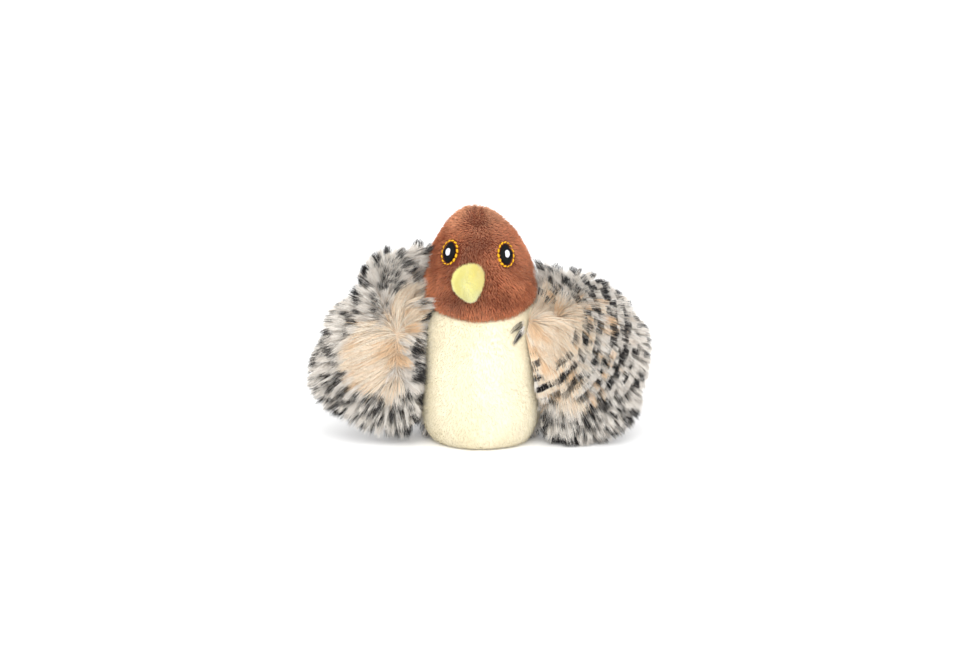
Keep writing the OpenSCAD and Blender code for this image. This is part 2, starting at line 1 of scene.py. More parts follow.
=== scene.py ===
"""Looks of a small stuffed plush bird whose two furry wings flap on a battery module.

The bird faces -Y. Its body and head are sewn covers with a short pile, its wings and back are long
spotted fur, and its eyes are embroidered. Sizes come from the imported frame; lengths below are in
millimetres and MM turns them into metres.
"""
import json
import math

import bmesh
import bpy
import numpy as np
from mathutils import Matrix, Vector, noise
from mathutils.bvhtree import BVHTree


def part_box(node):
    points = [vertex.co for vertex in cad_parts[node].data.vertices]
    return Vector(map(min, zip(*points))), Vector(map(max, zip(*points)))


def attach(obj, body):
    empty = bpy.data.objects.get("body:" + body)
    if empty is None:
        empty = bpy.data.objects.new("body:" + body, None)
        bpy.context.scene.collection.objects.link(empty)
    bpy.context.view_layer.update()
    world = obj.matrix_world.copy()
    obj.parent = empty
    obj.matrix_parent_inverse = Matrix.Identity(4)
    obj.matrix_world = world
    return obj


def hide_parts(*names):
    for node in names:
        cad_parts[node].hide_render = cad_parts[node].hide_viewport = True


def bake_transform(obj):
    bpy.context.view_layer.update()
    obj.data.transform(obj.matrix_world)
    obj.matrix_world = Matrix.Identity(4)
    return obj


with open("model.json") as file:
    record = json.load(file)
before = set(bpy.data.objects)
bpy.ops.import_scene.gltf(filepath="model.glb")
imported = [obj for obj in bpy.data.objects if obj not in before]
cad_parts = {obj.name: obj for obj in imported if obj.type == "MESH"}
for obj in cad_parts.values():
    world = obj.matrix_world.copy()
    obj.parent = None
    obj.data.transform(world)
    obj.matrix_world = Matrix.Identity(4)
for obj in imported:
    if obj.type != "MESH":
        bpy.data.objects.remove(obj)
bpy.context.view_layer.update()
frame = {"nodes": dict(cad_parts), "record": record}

MM = 0.001


def box_mm(node):
    """A node's lowest and highest corners, in millimetres."""
    low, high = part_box(node)
    return np.array(low) / MM, np.array(high) / MM


# Driving sizes, read from the frame
BODY_R = box_mm("belly_panel")[1][0]
NECK_Z = box_mm("head_cover")[0][2]
HEAD_R = box_mm("head_cover")[1][0]
HEAD_TOP = box_mm("head_cover")[1][2]
BEAK_LOW, BEAK_HIGH = box_mm("beak_cover")
EYES_LOW, EYES_HIGH = box_mm("eye_rings")
BACK_Y = box_mm("back_panel")[1][1]
BASE_LOW, BASE_HIGH = box_mm("base_panel")
FLAP_LOW, FLAP_HIGH = box_mm("closure_flap")
WING_Y = (box_mm("left_wing_front")[0][1] + box_mm("left_wing_back")[1][1]) / 2

BULGE_Z = 25        # height of the body's widest part
NECK_R = 21.5       # radius of the neck seam
CHEEK_Z = 62        # height of the head's widest part
BEAK_TURN = -7      # degrees, the beak's turn to the bird's right
EYES = {"right_eye": (-38.4, 80.6, -0.03), "left_eye": (35.8, 79.9, 0.21)}     # turn, height and slant of each
HEAD_LEAN = 2.0     # how far the head's top leans to the bird's right
HEAD_DEPTH = 0.9    # the head's fabric lies this far inside its pile
BODY_DEPTH = 0.6    # the body's fabric lies this far inside its pile


# ---------------------------------------------------------------- node trees
class Wire:
    """A socket in a node tree. Arithmetic on it adds the Math or Vector Math node that does it."""

    def __init__(self, tree, socket):
        self.tree, self.socket = tree, socket

    def _math(self, operation, *values):
        vector = any(isinstance(v, tuple) or (isinstance(v, Wire) and v.socket.type == "VECTOR") for v in values)
        kind = "ShaderNodeVectorMath" if vector else "ShaderNodeMath"
        return add(self.tree, kind, {i: v for i, v in enumerate(values)}, operation=operation).out()

    def __add__(self, other): return self._math("ADD", self, other)
    def __radd__(self, other): return self._math("ADD", other, self)
    def __sub__(self, other): return self._math("SUBTRACT", self, other)
    def __rsub__(self, other): return self._math("SUBTRACT", other, self)
    def __mul__(self, other): return self._math("MULTIPLY", self, other)
    def __rmul__(self, other): return self._math("MULTIPLY", other, self)
    def __truediv__(self, other): return self._math("DIVIDE", self, other)
    def __pow__(self, other): return self._math("POWER", self, other)
    def __gt__(self, other): return self._math("GREATER_THAN", self, other)
    def __lt__(self, other): return self._math("LESS_THAN", self, other)


class Added:
    """A node just added, whose outputs are taken by name or number."""

    def __init__(self, tree, node):
        self.tree, self.node = tree, node

    def out(self, which=0):
        return Wire(self.tree, self.node.outputs[which])


def put(tree, socket, value):
    """Links a wire to a socket, or sets the socket's own value."""
    if isinstance(value, Wire):
        tree.links.new(value.socket, socket)
    elif socket.type in ("VECTOR", "RGBA") and isinstance(value, (int, float)):
        socket.default_value = [value] * len(socket.default_value)
    elif socket.type == "RGBA" and len(value) == 3:
        socket.default_value = (*value, 1)
    else:
        socket.default_value = value


def add(tree, kind, values=None, stops=None, **settings):
    """Adds a node: its settings first, then a ramp's stops, then the values or links of its sockets."""
    node = tree.nodes.new(kind)
    for key, value in settings.items():
        setattr(node, key, value)
    if stops:
        while len(node.color_ramp.elements) < len(stops):
            node.color_ramp.elements.new(1)
        for element, (at, colour) in zip(node.color_ramp.elements, stops):
            element.position, element.color = at, (*colour, 1)
    for key, value in (values or {}).items():
        put(tree, node.inputs[key], value)
    return Added(tree, node)


def srgb(r, g, b):
    """A colour given in display values from 0 to 255, made linear."""
    return tuple(((c / 255 + 0.055) / 1.055) ** 2.4 if c > 10 else c / 255 / 12.92 for c in (r, g, b))


class Finish:
    """A material in the making: one Principled shader and the pattern nodes that feed it."""

    def __init__(self, name, rough=0.8, metal=0.0, sheen=0.0, sheen_tint=(1, 1, 1), coat=0.0, scatter=0.0, gloss=0.1):
        self.material = bpy.data.materials.new(name)
        self.material.use_nodes = True
        self.tree = self.material.node_tree
        self.shader = self.tree.nodes["Principled BSDF"]
        self.set("Roughness", rough)
        self.set("Metallic", metal)
        self.set("Specular IOR Level", gloss)
        self.set("Sheen Weight", sheen)
        self.set("Sheen Roughness", 0.5)
        self.set("Sheen Tint", sheen_tint)
        self.set("Coat Weight", coat)
        if scatter:
            self.set("Subsurface Weight", scatter)
            self.set("Subsurface Radius", (1.0, 0.7, 0.5))
            self.set("Subsurface Scale", 0.002)

    def set(self, socket, value):
        put(self.tree, self.shader.inputs[socket], value)

    def node(self, kind, values=None, which=0, **settings):
        return add(self.tree, kind, values, **settings).out(which)

    def place(self):
        return self.node("ShaderNodeTexCoord", which="Object")

    def attribute(self, name, which="Fac"):
        return self.node("ShaderNodeAttribute", which=which, attribute_name=name)

    def noise(self, scale, detail=3, at=None, rough=0.55, stretch=None):
        at = at or self.place()
        if stretch:
            at = self.node("ShaderNodeMapping", {"Vector": at, "Scale": stretch})
        return self.node("ShaderNodeTexNoise", {"Vector": at, "Scale": scale, "Detail": detail, "Roughness": rough})

    def mix(self, factor, a, b, blend="MIX"):
        made = add(self.tree, "ShaderNodeMix", data_type="RGBA", blend_type=blend)
        for key, value in ((0, factor), (6, a), (7, b)):
            put(self.tree, made.node.inputs[key], value)
        return made.out(2)

    def ramp(self, factor, low, high):
        """A factor stretched so that low becomes 0 and high becomes 1, and held between them."""
        return self.node("ShaderNodeMapRange", {"Value": factor, "From Min": low, "From Max": high},
                         interpolation_type="SMOOTHSTEP")

    def bump(self, height, distance, strength=0.6):
        self.set("Normal", self.node("ShaderNodeBump",
                                     {"Height": height, "Distance": distance, "Strength": strength}))


# ---------------------------------------------------------------- finishes
def pile_shade(finish, root_dark=0.62):
    """How light a fibre is along its length: painted shade, darker towards its root where it stands among the others.
    """
    along = finish.attribute("along")
    return root_dark + (1 - root_dark) * finish.ramp(along, 0.0, 0.75)


def brown_pile():
    """Short brown plush: streaks and darker patches where the pile is brushed against its lie, with painted light on
    the fibre tips and a painted highlight on the crown.
    """
    f = Finish("brown_pile", rough=0.8, sheen=0.6, sheen_tint=srgb(255, 205, 175))
    root = f.attribute("root", "Vector")
    patch = f.ramp(f.noise(62, 2, at=root), 0.4, 0.6)
    streak = f.noise(420, 2, at=root)
    tone = f.mix(patch, srgb(148, 76, 50), srgb(214, 136, 98))
    tone = f.mix(f.ramp(streak, 0.35, 0.72) * 0.5, tone, srgb(206, 128, 88))
    # Painted light on the fibre tips: each fibre lighter tan towards its tip, where light reaches it past the others.
    tip = f.ramp(f.attribute("along"), 0.55, 1.0) * 0.4
    tone = f.mix(tip, tone, srgb(220, 150, 112))
    # Painted highlight: lighter tan towards the top of the head, standing in for the sheen on the rim of its crown.
    height = f.node("ShaderNodeSeparateXYZ", {0: root}, which="Z")
    tone = f.mix(f.ramp(height + 0.008 * f.noise(90, 2, at=root), 0.089, 0.102) * 0.75, tone, srgb(226, 172, 136))
    # Painted shade towards the fibres' roots, times a tone that differs at random from tuft to tuft and strand to
    # strand.
    shade = pile_shade(f, 0.66) * (0.74 + 0.3 * f.attribute("tuft") + 0.26 * f.attribute("strand"))
    f.set("Base Color", f.mix(1.0, tone, shade, "MULTIPLY"))
    return f.material


def brown_cloth():
    """The knitted backing of the brown plush, seen between fibres."""
    f = Finish("brown_cloth", rough=0.95, sheen=0.2)
    f.set("Base Color", f.mix(f.noise(300, 3), srgb(88, 42, 28), srgb(132, 70, 48)))
    f.bump(f.noise(2500, 2), 0.0003)
    return f.material


def cream_pile():
    f = Finish("cream_pile", rough=0.8, sheen=0.3)
    root = f.attribute("root", "Vector")
    tone = f.mix(f.ramp(f.noise(60, 2, at=root), 0.3, 0.7), srgb(225, 214, 184), srgb(235, 226, 200))
    # Painted shade towards the fibres' roots, times a tone that differs at random from strand to strand.
    shade = pile_shade(f, 0.95) * (0.97 + 0.05 * f.attribute("strand"))
    f.set("Base Color", f.mix(1.0, tone, shade, "MULTIPLY"))
    return f.material


def cream_cloth():
    """Cream minky: a fine dense nap with faint brushing marks."""
    f = Finish("cream_cloth", rough=0.85, sheen=0.4)
    brushed = f.noise(45, 3, stretch=(1, 1, 0.5))
    grain = f.noise(1500, 3)
    tone = f.mix(f.ramp(brushed, 0.35, 0.65), srgb(225, 214, 184), srgb(235, 226, 200))
    f.set("Base Color", f.mix(f.ramp(grain, 0.3, 0.75) * 0.12, tone, srgb(228, 216, 180)))
    f.bump(grain + 2 * brushed, 0.0002, 0.4)
    return f.material


def yellow_pile():
    """Pale yellow plush, with painted shade that turns it deeper yellow towards the top of the bird's left side."""
    f = Finish("yellow_pile", rough=0.8, sheen=0.7)
    root = f.attribute("root", "Vector")
    across = f.node("ShaderNodeSeparateXYZ", {0: root}, which="X")
    height = f.node("ShaderNodeSeparateXYZ", {0: root}, which="Z")
    # Painted shade: deeper yellow towards the top of the bird's left side, where the beak's side turns away from the
    # light.
    painted_side_shade = f.ramp(across + 0.3 * height + 0.003 * f.noise(200, 2, at=root), 0.019, 0.028)
    tone = f.mix(f.ramp(f.noise(90, 1, at=root), 0.4, 0.6), srgb(255, 249, 164), srgb(255, 254, 200))
    tone = f.mix(painted_side_shade, tone, srgb(255, 230, 114))
    # Painted shade towards the fibres' roots, times a tone that differs at random from strand to strand.
    shade = pile_shade(f, 0.95) * (0.95 + 0.08 * f.attribute("strand"))
    f.set("Base Color", f.mix(1.0, tone, shade, "MULTIPLY"))
    return f.material


def yellow_cloth():
    f = Finish("yellow_cloth", rough=0.9, sheen=0.3)
    f.set("Base Color", f.mix(f.noise(90, 1), srgb(254, 240, 140), srgb(255, 248, 176)))
    f.bump(f.noise(2200, 2), 0.0003)
    return f.material


def spotted_pile():
    """Long fur: peach by the wing's root, grey-white outside, with black tufts at the tips or in rows."""
    f = Finish("spotted_pile", rough=0.7, sheen=0.2)
    along, strand, tuft = f.attribute("along"), f.attribute("strand"), f.attribute("tuft")
    tuft2, warm, rows = f.attribute("tuft2"), f.attribute("warm"), f.attribute("rows")
    pale = f.mix(strand, srgb(226, 216, 204), srgb(255, 252, 246))
    peach = f.mix(strand, srgb(255, 228, 196), srgb(255, 250, 236))
    tan = f.mix(strand, srgb(232, 190, 142), srgb(250, 222, 186))
    tone = f.mix(f.ramp(warm + 0.4 * tuft, 0.5, 0.75), pale, peach)
    tone = f.mix((tuft > 0.84) * f.ramp(warm, 0.0, 0.1) * (strand > 0.25), tone, tan)
    row = f.node("ShaderNodeMath", {0: f.attribute("far") * 192.0 + 0.5 * tuft + 0.06 * strand}, operation="FRACT")
    in_row = f.ramp(row, 0.02, 0.07) * f.ramp(row, 0.6, 0.55) * (tuft2 > 0.26) * f.ramp(along, 0.25, 0.35)
    at_tip = f.ramp(along + 0.3 * (tuft - 0.5) - 0.1 * strand - 0.45 * warm, 0.5, 0.57) * (tuft2 - 0.5 * warm > 0.5)
    marks = f.ramp(rows, 0.4, 0.6) * (in_row - at_tip) + at_tip
    ink = f.mix(strand, srgb(6, 6, 9), srgb(50, 46, 46))
    tone = f.mix(marks * f.ramp(warm, 0.75, 0.5) * (strand < 0.94), tone, ink)
    # The fur's colour is multiplied by painted shade towards the fibres' roots.
    f.set("Base Color", f.mix(1.0, tone, pile_shade(f, 0.8), "MULTIPLY"))
    return f.material


def spotted_cloth():
    f = Finish("spotted_cloth", rough=0.95)
    f.set("Base Color", f.mix(f.noise(260, 3), srgb(150, 128, 108), srgb(222, 200, 176)))
    f.bump(f.noise(1800, 2), 0.0004)
    return f.material


def thread(name, low, high, rough=0.42):
    """Shiny embroidery thread: two twisted strands seen as fine slanting lines along it."""
    f = Finish(name, rough=rough)
    f.set("Base Color", f.mix(f.noise(900, 2), low, high))
    f.bump(f.noise(3500, 2), 0.00008)
    return f.material


def fibre_fill():
    f = Finish("fibre_fill", rough=1.0, scatter=0.3)
    f.set("Base Color", f.mix(f.noise(500, 5), srgb(214, 214, 210), srgb(250, 250, 248)))
    f.bump(f.noise(700, 5), 0.0012, 1.0)
    return f.material


def moulded(name, low, high, rough=0.45, grain=1800, depth=0.00004, metal=0.0, coat=0.0):
    """A moulded or machined surface with a fine grain and slightly uneven gloss."""
    f = Finish(name, metal=metal, coat=coat, gloss=0.5)
    f.set("Base Color", f.mix(f.noise(120, 3), low, high))
    f.set("Roughness", rough - 0.08 + 0.16 * f.noise(400, 2))
    f.bump(f.noise(grain, 2), depth)
    return f.material


def brushed_metal(name, low, high, rough=0.28, stretch=(1, 12, 1)):
    f = Finish(name, metal=1.0, gloss=0.5)
    lines = f.noise(900, 2, stretch=stretch)
    f.set("Base Color", f.mix(lines, low, high))
    f.set("Roughness", rough - 0.06 + 0.14 * lines)
    f.bump(lines, 0.00002)
    return f.material


def tape(name, low, high, scale):
    """Hook or loop tape: rows of small dots with a woven ground."""
    f = Finish(name, rough=0.85, sheen=0.2)
    dots = f.node("ShaderNodeTexVoronoi", {"Vector": f.place(), "Scale": scale})
    f.set("Base Color", f.mix(f.ramp(dots, 0.1, 0.7), high, low))
    f.bump(1 - dots, 0.0003, 0.8)
    return f.material


def board_mask():
    f = Finish("board_mask", rough=0.35, coat=0.3, gloss=0.5)
    f.set("Base Color", f.mix(f.ramp(f.noise(350, 1), 0.49, 0.53), srgb(16, 74, 44), srgb(28, 104, 62)))
    f.bump(f.noise(350, 1), 0.00003)
    return f.material


def studio_floor():
    f = Finish("studio_floor", rough=0.9)
    f.set("Base Color", f.mix(f.noise(3, 2), srgb(250, 250, 250), srgb(255, 255, 255)))
    return f.material


# ---------------------------------------------------------------- meshes
def new_object(name, vertices, faces, material=None, smooth=True):
    """A mesh object whose vertices are given in millimetres."""
    mesh = bpy.data.meshes.new(name)
    mesh.from_pydata((np.asarray(vertices, float) * MM).tolist(), [], faces)
    mesh.update()
    if smooth:
        mesh.shade_smooth()
    thing = bpy.data.objects.new(name, mesh)
    bpy.context.scene.collection.objects.link(thing)
    if material:
        mesh.materials.append(material)
    return thing


def grid_faces(rows, columns, closed):
    """Quads of a grid whose columns run round it when closed."""
    faces = []
    for i in range(rows - 1):
        for j in range(columns if closed else columns - 1):
            k = (j + 1) % columns
            faces.append((i * columns + j, i * columns + k, (i + 1) * columns + k, (i + 1) * columns + j))
    return faces


def points_of(thing):
    """A mesh object's vertices and normals in millimetres."""
    mesh = thing.data
    at = np.empty(len(mesh.vertices) * 3)
    mesh.vertices.foreach_get("co", at)
    out = np.empty(len(mesh.vertices) * 3)
    mesh.vertices.foreach_get("normal", out)
    return at.reshape(-1, 3) / MM, out.reshape(-1, 3)


def write_attribute(mesh, name, values):
    values = np.asarray(values, np.float32)
    kind, key = ("FLOAT_VECTOR", "vector") if values.ndim == 2 else ("FLOAT", "value")
    mesh.attributes.new(name, kind, "POINT").data.foreach_set(key, values.ravel())


def apply_modifiers(thing):
    """Replaces an object's mesh with its evaluated mesh and removes its modifiers."""
    graph = bpy.context.evaluated_depsgraph_get()
    mesh = bpy.data.meshes.new_from_object(thing.evaluated_get(graph), depsgraph=graph)
    thing.modifiers.clear()
    thing.data = mesh


def unit(v):
    return v / np.maximum(np.linalg.norm(v, axis=-1, keepdims=True), 1e-9)


def waves(at, scale, seed):
    """Smooth noise vectors at points in millimetres."""
    shift = Vector((seed * 7.3, seed * 3.1, seed * 5.7))
    return np.array([noise.noise_vector(Vector(p) / scale + shift) for p in at])


def lerp(a, b, t):
    return a + (b - a) * t


def smooth(t):
    t = np.clip(t, 0, 1)
    return t * t * (3 - 2 * t)


def round_outline(knots, count):
    """Evenly spread points of a smooth closed curve through the knots."""
    knots = np.array(knots, float)
    n = len(knots)
    fine = []
    for i in range(n):
        a, b, c, d = (knots[(i + k) % n] for k in (-1, 0, 1, 2))
        for t in np.linspace(0, 1, 12, endpoint=False):
            fine.append(0.5 * (2 * b + (c - a) * t + (2 * a - 5 * b + 4 * c - d) * t ** 2
                               + (3 * b - a - 3 * c + d) * t ** 3))
    fine = np.array(fine + [fine[0]])
    far = np.concatenate([[0], np.cumsum(np.linalg.norm(np.diff(fine, axis=0), axis=1))])
    want = np.linspace(0, far[-1], count, endpoint=False)
    return np.stack([np.interp(want, far, fine[:, 0]), np.interp(want, far, fine[:, 1])], -1)


# ---------------------------------------------------------------- pile
def pile_tree():
    """Geometry Nodes that grow fibres on a skin: each follows the skin's comb vector, leans to the
    nearest tuft's tip, droops and frizzes, and becomes a thin three-sided tube that tapers to its tip."""
    tree = bpy.data.node_groups.new("pile", "GeometryNodeTree")
    face = tree.interface
    face.new_socket("Geometry", in_out="OUTPUT", socket_type="NodeSocketGeometry")
    face.new_socket("Skin", in_out="INPUT", socket_type="NodeSocketGeometry")
    for name, kind in (("Fibres per area", "Float"), ("Tufts per area", "Float"), ("Width", "Float"),
                       ("Gather", "Float"), ("Jitter", "Float"), ("Droop", "Float"), ("Frizz", "Float"), ("Points", "Int"),
                       ("Seed", "Int"), ("Centre", "Vector"), ("Finish", "Material")):
        face.new_socket(name, in_out="INPUT", socket_type=f"NodeSocket{kind}")
    given = add(tree, "NodeGroupInput")
    skin = given.out("Skin")

    def named(name, kind="FLOAT"):
        return add(tree, "GeometryNodeInputNamedAttribute", {"Name": name}, data_type=kind).out("Attribute")

    def keep(geometry, name, value, kind="FLOAT"):
        return add(tree, "GeometryNodeStoreNamedAttribute", {"Geometry": geometry, "Name": name, "Value": value},
                   data_type=kind, domain="POINT").out()

    def chance(low, high, seed, kind="FLOAT"):
        made = add(tree, "FunctionNodeRandomValue", {"Seed": seed}, data_type=kind)
        first, last, result = (0, 1, 0) if kind == "FLOAT_VECTOR" else (2, 3, 1)
        put(tree, made.node.inputs[first], low)
        put(tree, made.node.inputs[last], high)
        return made.out(result)

    place = add(tree, "GeometryNodeInputPosition").out()
    cover = named("cover")
    tufts = add(tree, "GeometryNodeDistributePointsOnFaces",
                {"Mesh": skin, "Density": given.out("Tufts per area"), "Seed": given.out("Seed")}).out("Points")
    fibres = add(tree, "GeometryNodeDistributePointsOnFaces",
                 {"Mesh": skin, "Density": cover * given.out("Fibres per area"),
                  "Seed": given.out("Seed") + 1}).out("Points")
    nearest = add(tree, "GeometryNodeSampleNearest", {"Geometry": tufts, "Sample Position": place},
                  domain="POINT").out()

    def of_tuft(value, kind="FLOAT"):
        return add(tree, "GeometryNodeSampleIndex", {"Geometry": tufts, "Value": value, "Index": nearest},
                   data_type=kind, domain="POINT").out()

    comb = named("comb", "FLOAT_VECTOR")
    length = chance(0.62, 1.15, 3)
    jitter = chance((-1, -1, -1), (1, 1, 1), 4, "FLOAT_VECTOR")
    size = add(tree, "ShaderNodeVectorMath", {0: comb}, operation="LENGTH").out("Value")
    reach = comb * length + jitter * size * given.out("Jitter")
    tuft_tip = of_tuft(place, "FLOAT_VECTOR") + of_tuft(comb, "FLOAT_VECTOR")
    fibres = keep(fibres, "lean", tuft_tip - (place + reach), "FLOAT_VECTOR")
    fibres = keep(fibres, "tuft", of_tuft(chance(0, 1, 11)))
    fibres = keep(fibres, "tuft2", of_tuft(chance(0, 1, 12)))
    fibres = keep(fibres, "warm", of_tuft(named("warm")))
    fibres = keep(fibres, "rows", of_tuft(named("rows")))
    fibres = keep(fibres, "strand", chance(0, 1, 5))
    fibres = keep(fibres, "reach", reach, "FLOAT_VECTOR")
    fibres = keep(fibres, "root", place, "FLOAT_VECTOR")
    line = add(tree, "GeometryNodeCurvePrimitiveLine").out()
    line = add(tree, "GeometryNodeResampleCurve", {"Curve": line, "Count": given.out("Points")}).out()
    placed = add(tree, "GeometryNodeInstanceOnPoints", {"Points": fibres, "Instance": line}).out()
    curves = add(tree, "GeometryNodeRealizeInstances", {"Geometry": placed}).out()

    t = add(tree, "GeometryNodeSplineParameter").out("Factor")
    reach, lean = named("reach", "FLOAT_VECTOR"), named("lean", "FLOAT_VECTOR")
    size = add(tree, "ShaderNodeVectorMath", {0: reach}, operation="LENGTH").out("Value")
    curl = add(tree, "ShaderNodeTexNoise", {"Vector": named("root", "FLOAT_VECTOR") * 900.0 + t * (2.0, 2.0, 2.0)},
               noise_dimensions="3D").out("Color")
    gather = given.out("Gather") * (1 - 0.55 * named("warm"))
    at = named("root", "FLOAT_VECTOR") + reach * t + lean * (t ** 1.6) * gather
    at = at + (0.0, 0.0, -1.0) * (t * t * size * given.out("Droop"))
    at = at + (curl - (0.5, 0.5, 0.5)) * (t * size * given.out("Frizz"))
    at = add(tree, "ShaderNodeVectorMath", {0: at, 1: (-10, -10, 0.00025)}, operation="MAXIMUM").out()
    curves = add(tree, "GeometryNodeSetPosition", {"Geometry": curves, "Position": at}).out()
    curves = keep(curves, "along", t)
    away = (place - given.out("Centre")) * (1.0, 0.5, 1.0)
    curves = keep(curves, "far", add(tree, "ShaderNodeVectorMath", {0: away}, operation="LENGTH").out("Value"))
    taper = given.out("Width") * (1 - 0.82 * t ** 1.5)
    curves = add(tree, "GeometryNodeSetCurveRadius", {"Curve": curves, "Radius": taper}).out()
    profile = add(tree, "GeometryNodeCurvePrimitiveCircle", {"Resolution": 3, "Radius": 1.0}).out()
    tubes = add(tree, "GeometryNodeCurveToMesh", {"Curve": curves, "Profile Curve": profile})
    if "Scale" in tubes.node.inputs:
        put(tree, tubes.node.inputs["Scale"], add(tree, "GeometryNodeInputRadius").out())
    done = add(tree, "GeometryNodeRealizeInstances", {"Geometry": tubes.out()}).out()
    done = add(tree, "GeometryNodeSetMaterial", {"Geometry": done, "Material": given.out("Finish")}).out()
    add(tree, "NodeGroupOutput", {0: done})
    return tree


def stitch_tree():
    """Geometry Nodes that lay a thread along each point's run: bowed outwards, round, with closed ends."""
    tree = bpy.data.node_groups.new("stitches", "GeometryNodeTree")
    face = tree.interface
    face.new_socket("Geometry", in_out="OUTPUT", socket_type="NodeSocketGeometry")
    face.new_socket("Places", in_out="INPUT", socket_type="NodeSocketGeometry")
    for name, kind in (("Width", "Float"), ("Rise", "Float"), ("Finish", "Material")):
        face.new_socket(name, in_out="INPUT", socket_type=f"NodeSocket{kind}")
    given = add(tree, "NodeGroupInput")

    def named(name, kind="FLOAT_VECTOR"):
        return add(tree, "GeometryNodeInputNamedAttribute", {"Name": name}, data_type=kind).out("Attribute")

    line = add(tree, "GeometryNodeCurvePrimitiveLine").out()
    line = add(tree, "GeometryNodeResampleCurve", {"Curve": line, "Count": 7}).out()
    placed = add(tree, "GeometryNodeInstanceOnPoints", {"Points": given.out("Places"), "Instance": line}).out()
    curves = add(tree, "GeometryNodeRealizeInstances", {"Geometry": placed}).out()
    t = add(tree, "GeometryNodeSplineParameter").out("Factor")
    bow = 4.0 * t * (1 - t)
    at = named("start") + named("run") * t + named("out") * (bow * given.out("Rise"))
    curves = add(tree, "GeometryNodeSetPosition", {"Geometry": curves, "Position": at}).out()
    ends = (1 - (2.0 * t - 1.0) ** 6.0) * 0.7 + 0.3
    radius = ends * given.out("Width") * named("thick", "FLOAT")
    curves = add(tree, "GeometryNodeSetCurveRadius", {"Curve": curves, "Radius": radius}).out()
    profile = add(tree, "GeometryNodeCurvePrimitiveCircle", {"Resolution": 7, "Radius": 1.0}).out()
    tubes = add(tree, "GeometryNodeCurveToMesh", {"Curve": curves, "Profile Curve": profile, "Fill Caps": True})
    if "Scale" in tubes.node.inputs:
        put(tree, tubes.node.inputs["Scale"], add(tree, "GeometryNodeInputRadius").out())
    done = add(tree, "GeometryNodeRealizeInstances", {"Geometry": tubes.out()}).out()
    done = add(tree, "GeometryNodeSetMaterial", {"Geometry": done, "Material": given.out("Finish")}).out()
    add(tree, "NodeGroupOutput", {0: done})
    return tree


def run_tree(thing, tree, **inputs):
    """Applies a Geometry Nodes tree to an object with its named inputs, and makes the result a plain mesh."""
    modifier = thing.modifiers.new(tree.name, "NODES")
    modifier.node_group = tree
    for item in tree.interface.items_tree:
        if item.in_out == "INPUT" and item.name in inputs:
            modifier[item.identifier] = inputs[item.name]
    apply_modifiers(thing)
    return thing


PILE = pile_tree()
STITCHES = stitch_tree()


def sew(name, stitches, width, rise, finish):
    """Threads of this width. Each stitch is its start, its end, the way out of the cloth and a thickness."""
    start, end = np.array([k[0] for k in stitches], float), np.array([k[1] for k in stitches], float)
    mesh = bpy.data.meshes.new(name)
    mesh.from_pydata((start * MM).tolist(), [], [])
    write_attribute(mesh, "start", start * MM)
    write_attribute(mesh, "run", (end - start) * MM)
    write_attribute(mesh, "out", np.array([k[2] for k in stitches], float) * MM)
    write_attribute(mesh, "thick", np.array([k[3] for k in stitches], float))
    thing = bpy.data.objects.new(name, mesh)
    bpy.context.scene.collection.objects.link(thing)
    run_tree(thing, STITCHES, Width=width * MM / 2, Rise=rise, Finish=finish)
    thing.data.shade_smooth()
    return thing


def grow(name, skin, finish, comb, fibres, width, spacing, gather=0.5, jitter=0.15, droop=0.1, frizz=0.15, points=4,
         seed=1, cover=None, warm=None, rows=None, centre=(0, 0, 0)):
    """Grows pile on a copy of a skin. comb is each vertex's fibre in millimetres, spacing the tufts'."""
    guide = bpy.data.objects.new(name, skin.data.copy())
    bpy.context.scene.collection.objects.link(guide)
    mesh = guide.data
    count = len(mesh.vertices)
    write_attribute(mesh, "comb", comb * MM)
    write_attribute(mesh, "cover", np.ones(count) if cover is None else cover)
    write_attribute(mesh, "warm", np.zeros(count) if warm is None else warm)
    write_attribute(mesh, "rows", np.zeros(count) if rows is None else rows)
    weight = np.ones(count) if cover is None else np.asarray(cover, float)
    area = sum(p.area * weight[list(p.vertices)].mean() for p in mesh.polygons)
    scale = 1.0
    run_tree(guide, PILE, **{
        "Fibres per area": fibres * scale / area, "Tufts per area": 1 / (spacing * MM) ** 2,
        "Width": width * MM / 2 / math.sqrt(scale), "Gather": gather, "Jitter": jitter, "Droop": droop, "Frizz": frizz,
        "Points": points, "Seed": seed, "Centre": tuple(c * MM for c in centre), "Finish": finish})
    for attribute in ("lean", "reach", "comb", "cover"):
        if attribute in guide.data.attributes:
            guide.data.attributes.remove(guide.data.attributes[attribute])
    guide.data.shade_smooth()
    return guide


# ---------------------------------------------------------------- body and head shapes
def round_point(angle, radius, z):
    """A point at this angle from the front, positive towards +X, in millimetres."""
    a = np.radians(angle)
    return np.stack([radius * np.sin(a), -radius * np.cos(a), z * np.ones_like(a)], -1)


def body_radius(z):
    return BODY_R - (BODY_R - NECK_R) * ((z - BULGE_Z) / (NECK_Z - BULGE_Z)) ** 2


def head_radius(z):
    low = NECK_R + (HEAD_R - NECK_R) * np.sin(np.pi / 2 * np.clip((z - NECK_Z) / (CHEEK_Z - NECK_Z), 0, 1))
    t = np.clip((z - CHEEK_Z) / (HEAD_TOP - CHEEK_Z), 0, 1)
    return np.where(z < CHEEK_Z, low, HEAD_R * (1 - t ** 1.75) ** 0.55)


def lean(at):
    """Leans the head's upper part a little to the bird's right."""
    t = np.clip((at[..., 2] - CHEEK_Z) / (HEAD_TOP - CHEEK_Z), 0, 1)
    moved = at.copy()
    moved[..., 0] -= HEAD_LEAN * t
    return moved


def skin_of_revolution(name, angles, heights, radius, closed, material):
    """A grid skin: one row for each height, one column for each angle from the front."""
    rows = [round_point(angles, radius(z), z) for z in heights]
    at = np.concatenate(rows)
    return new_object(name, at, grid_faces(len(heights), len(angles), closed), material)


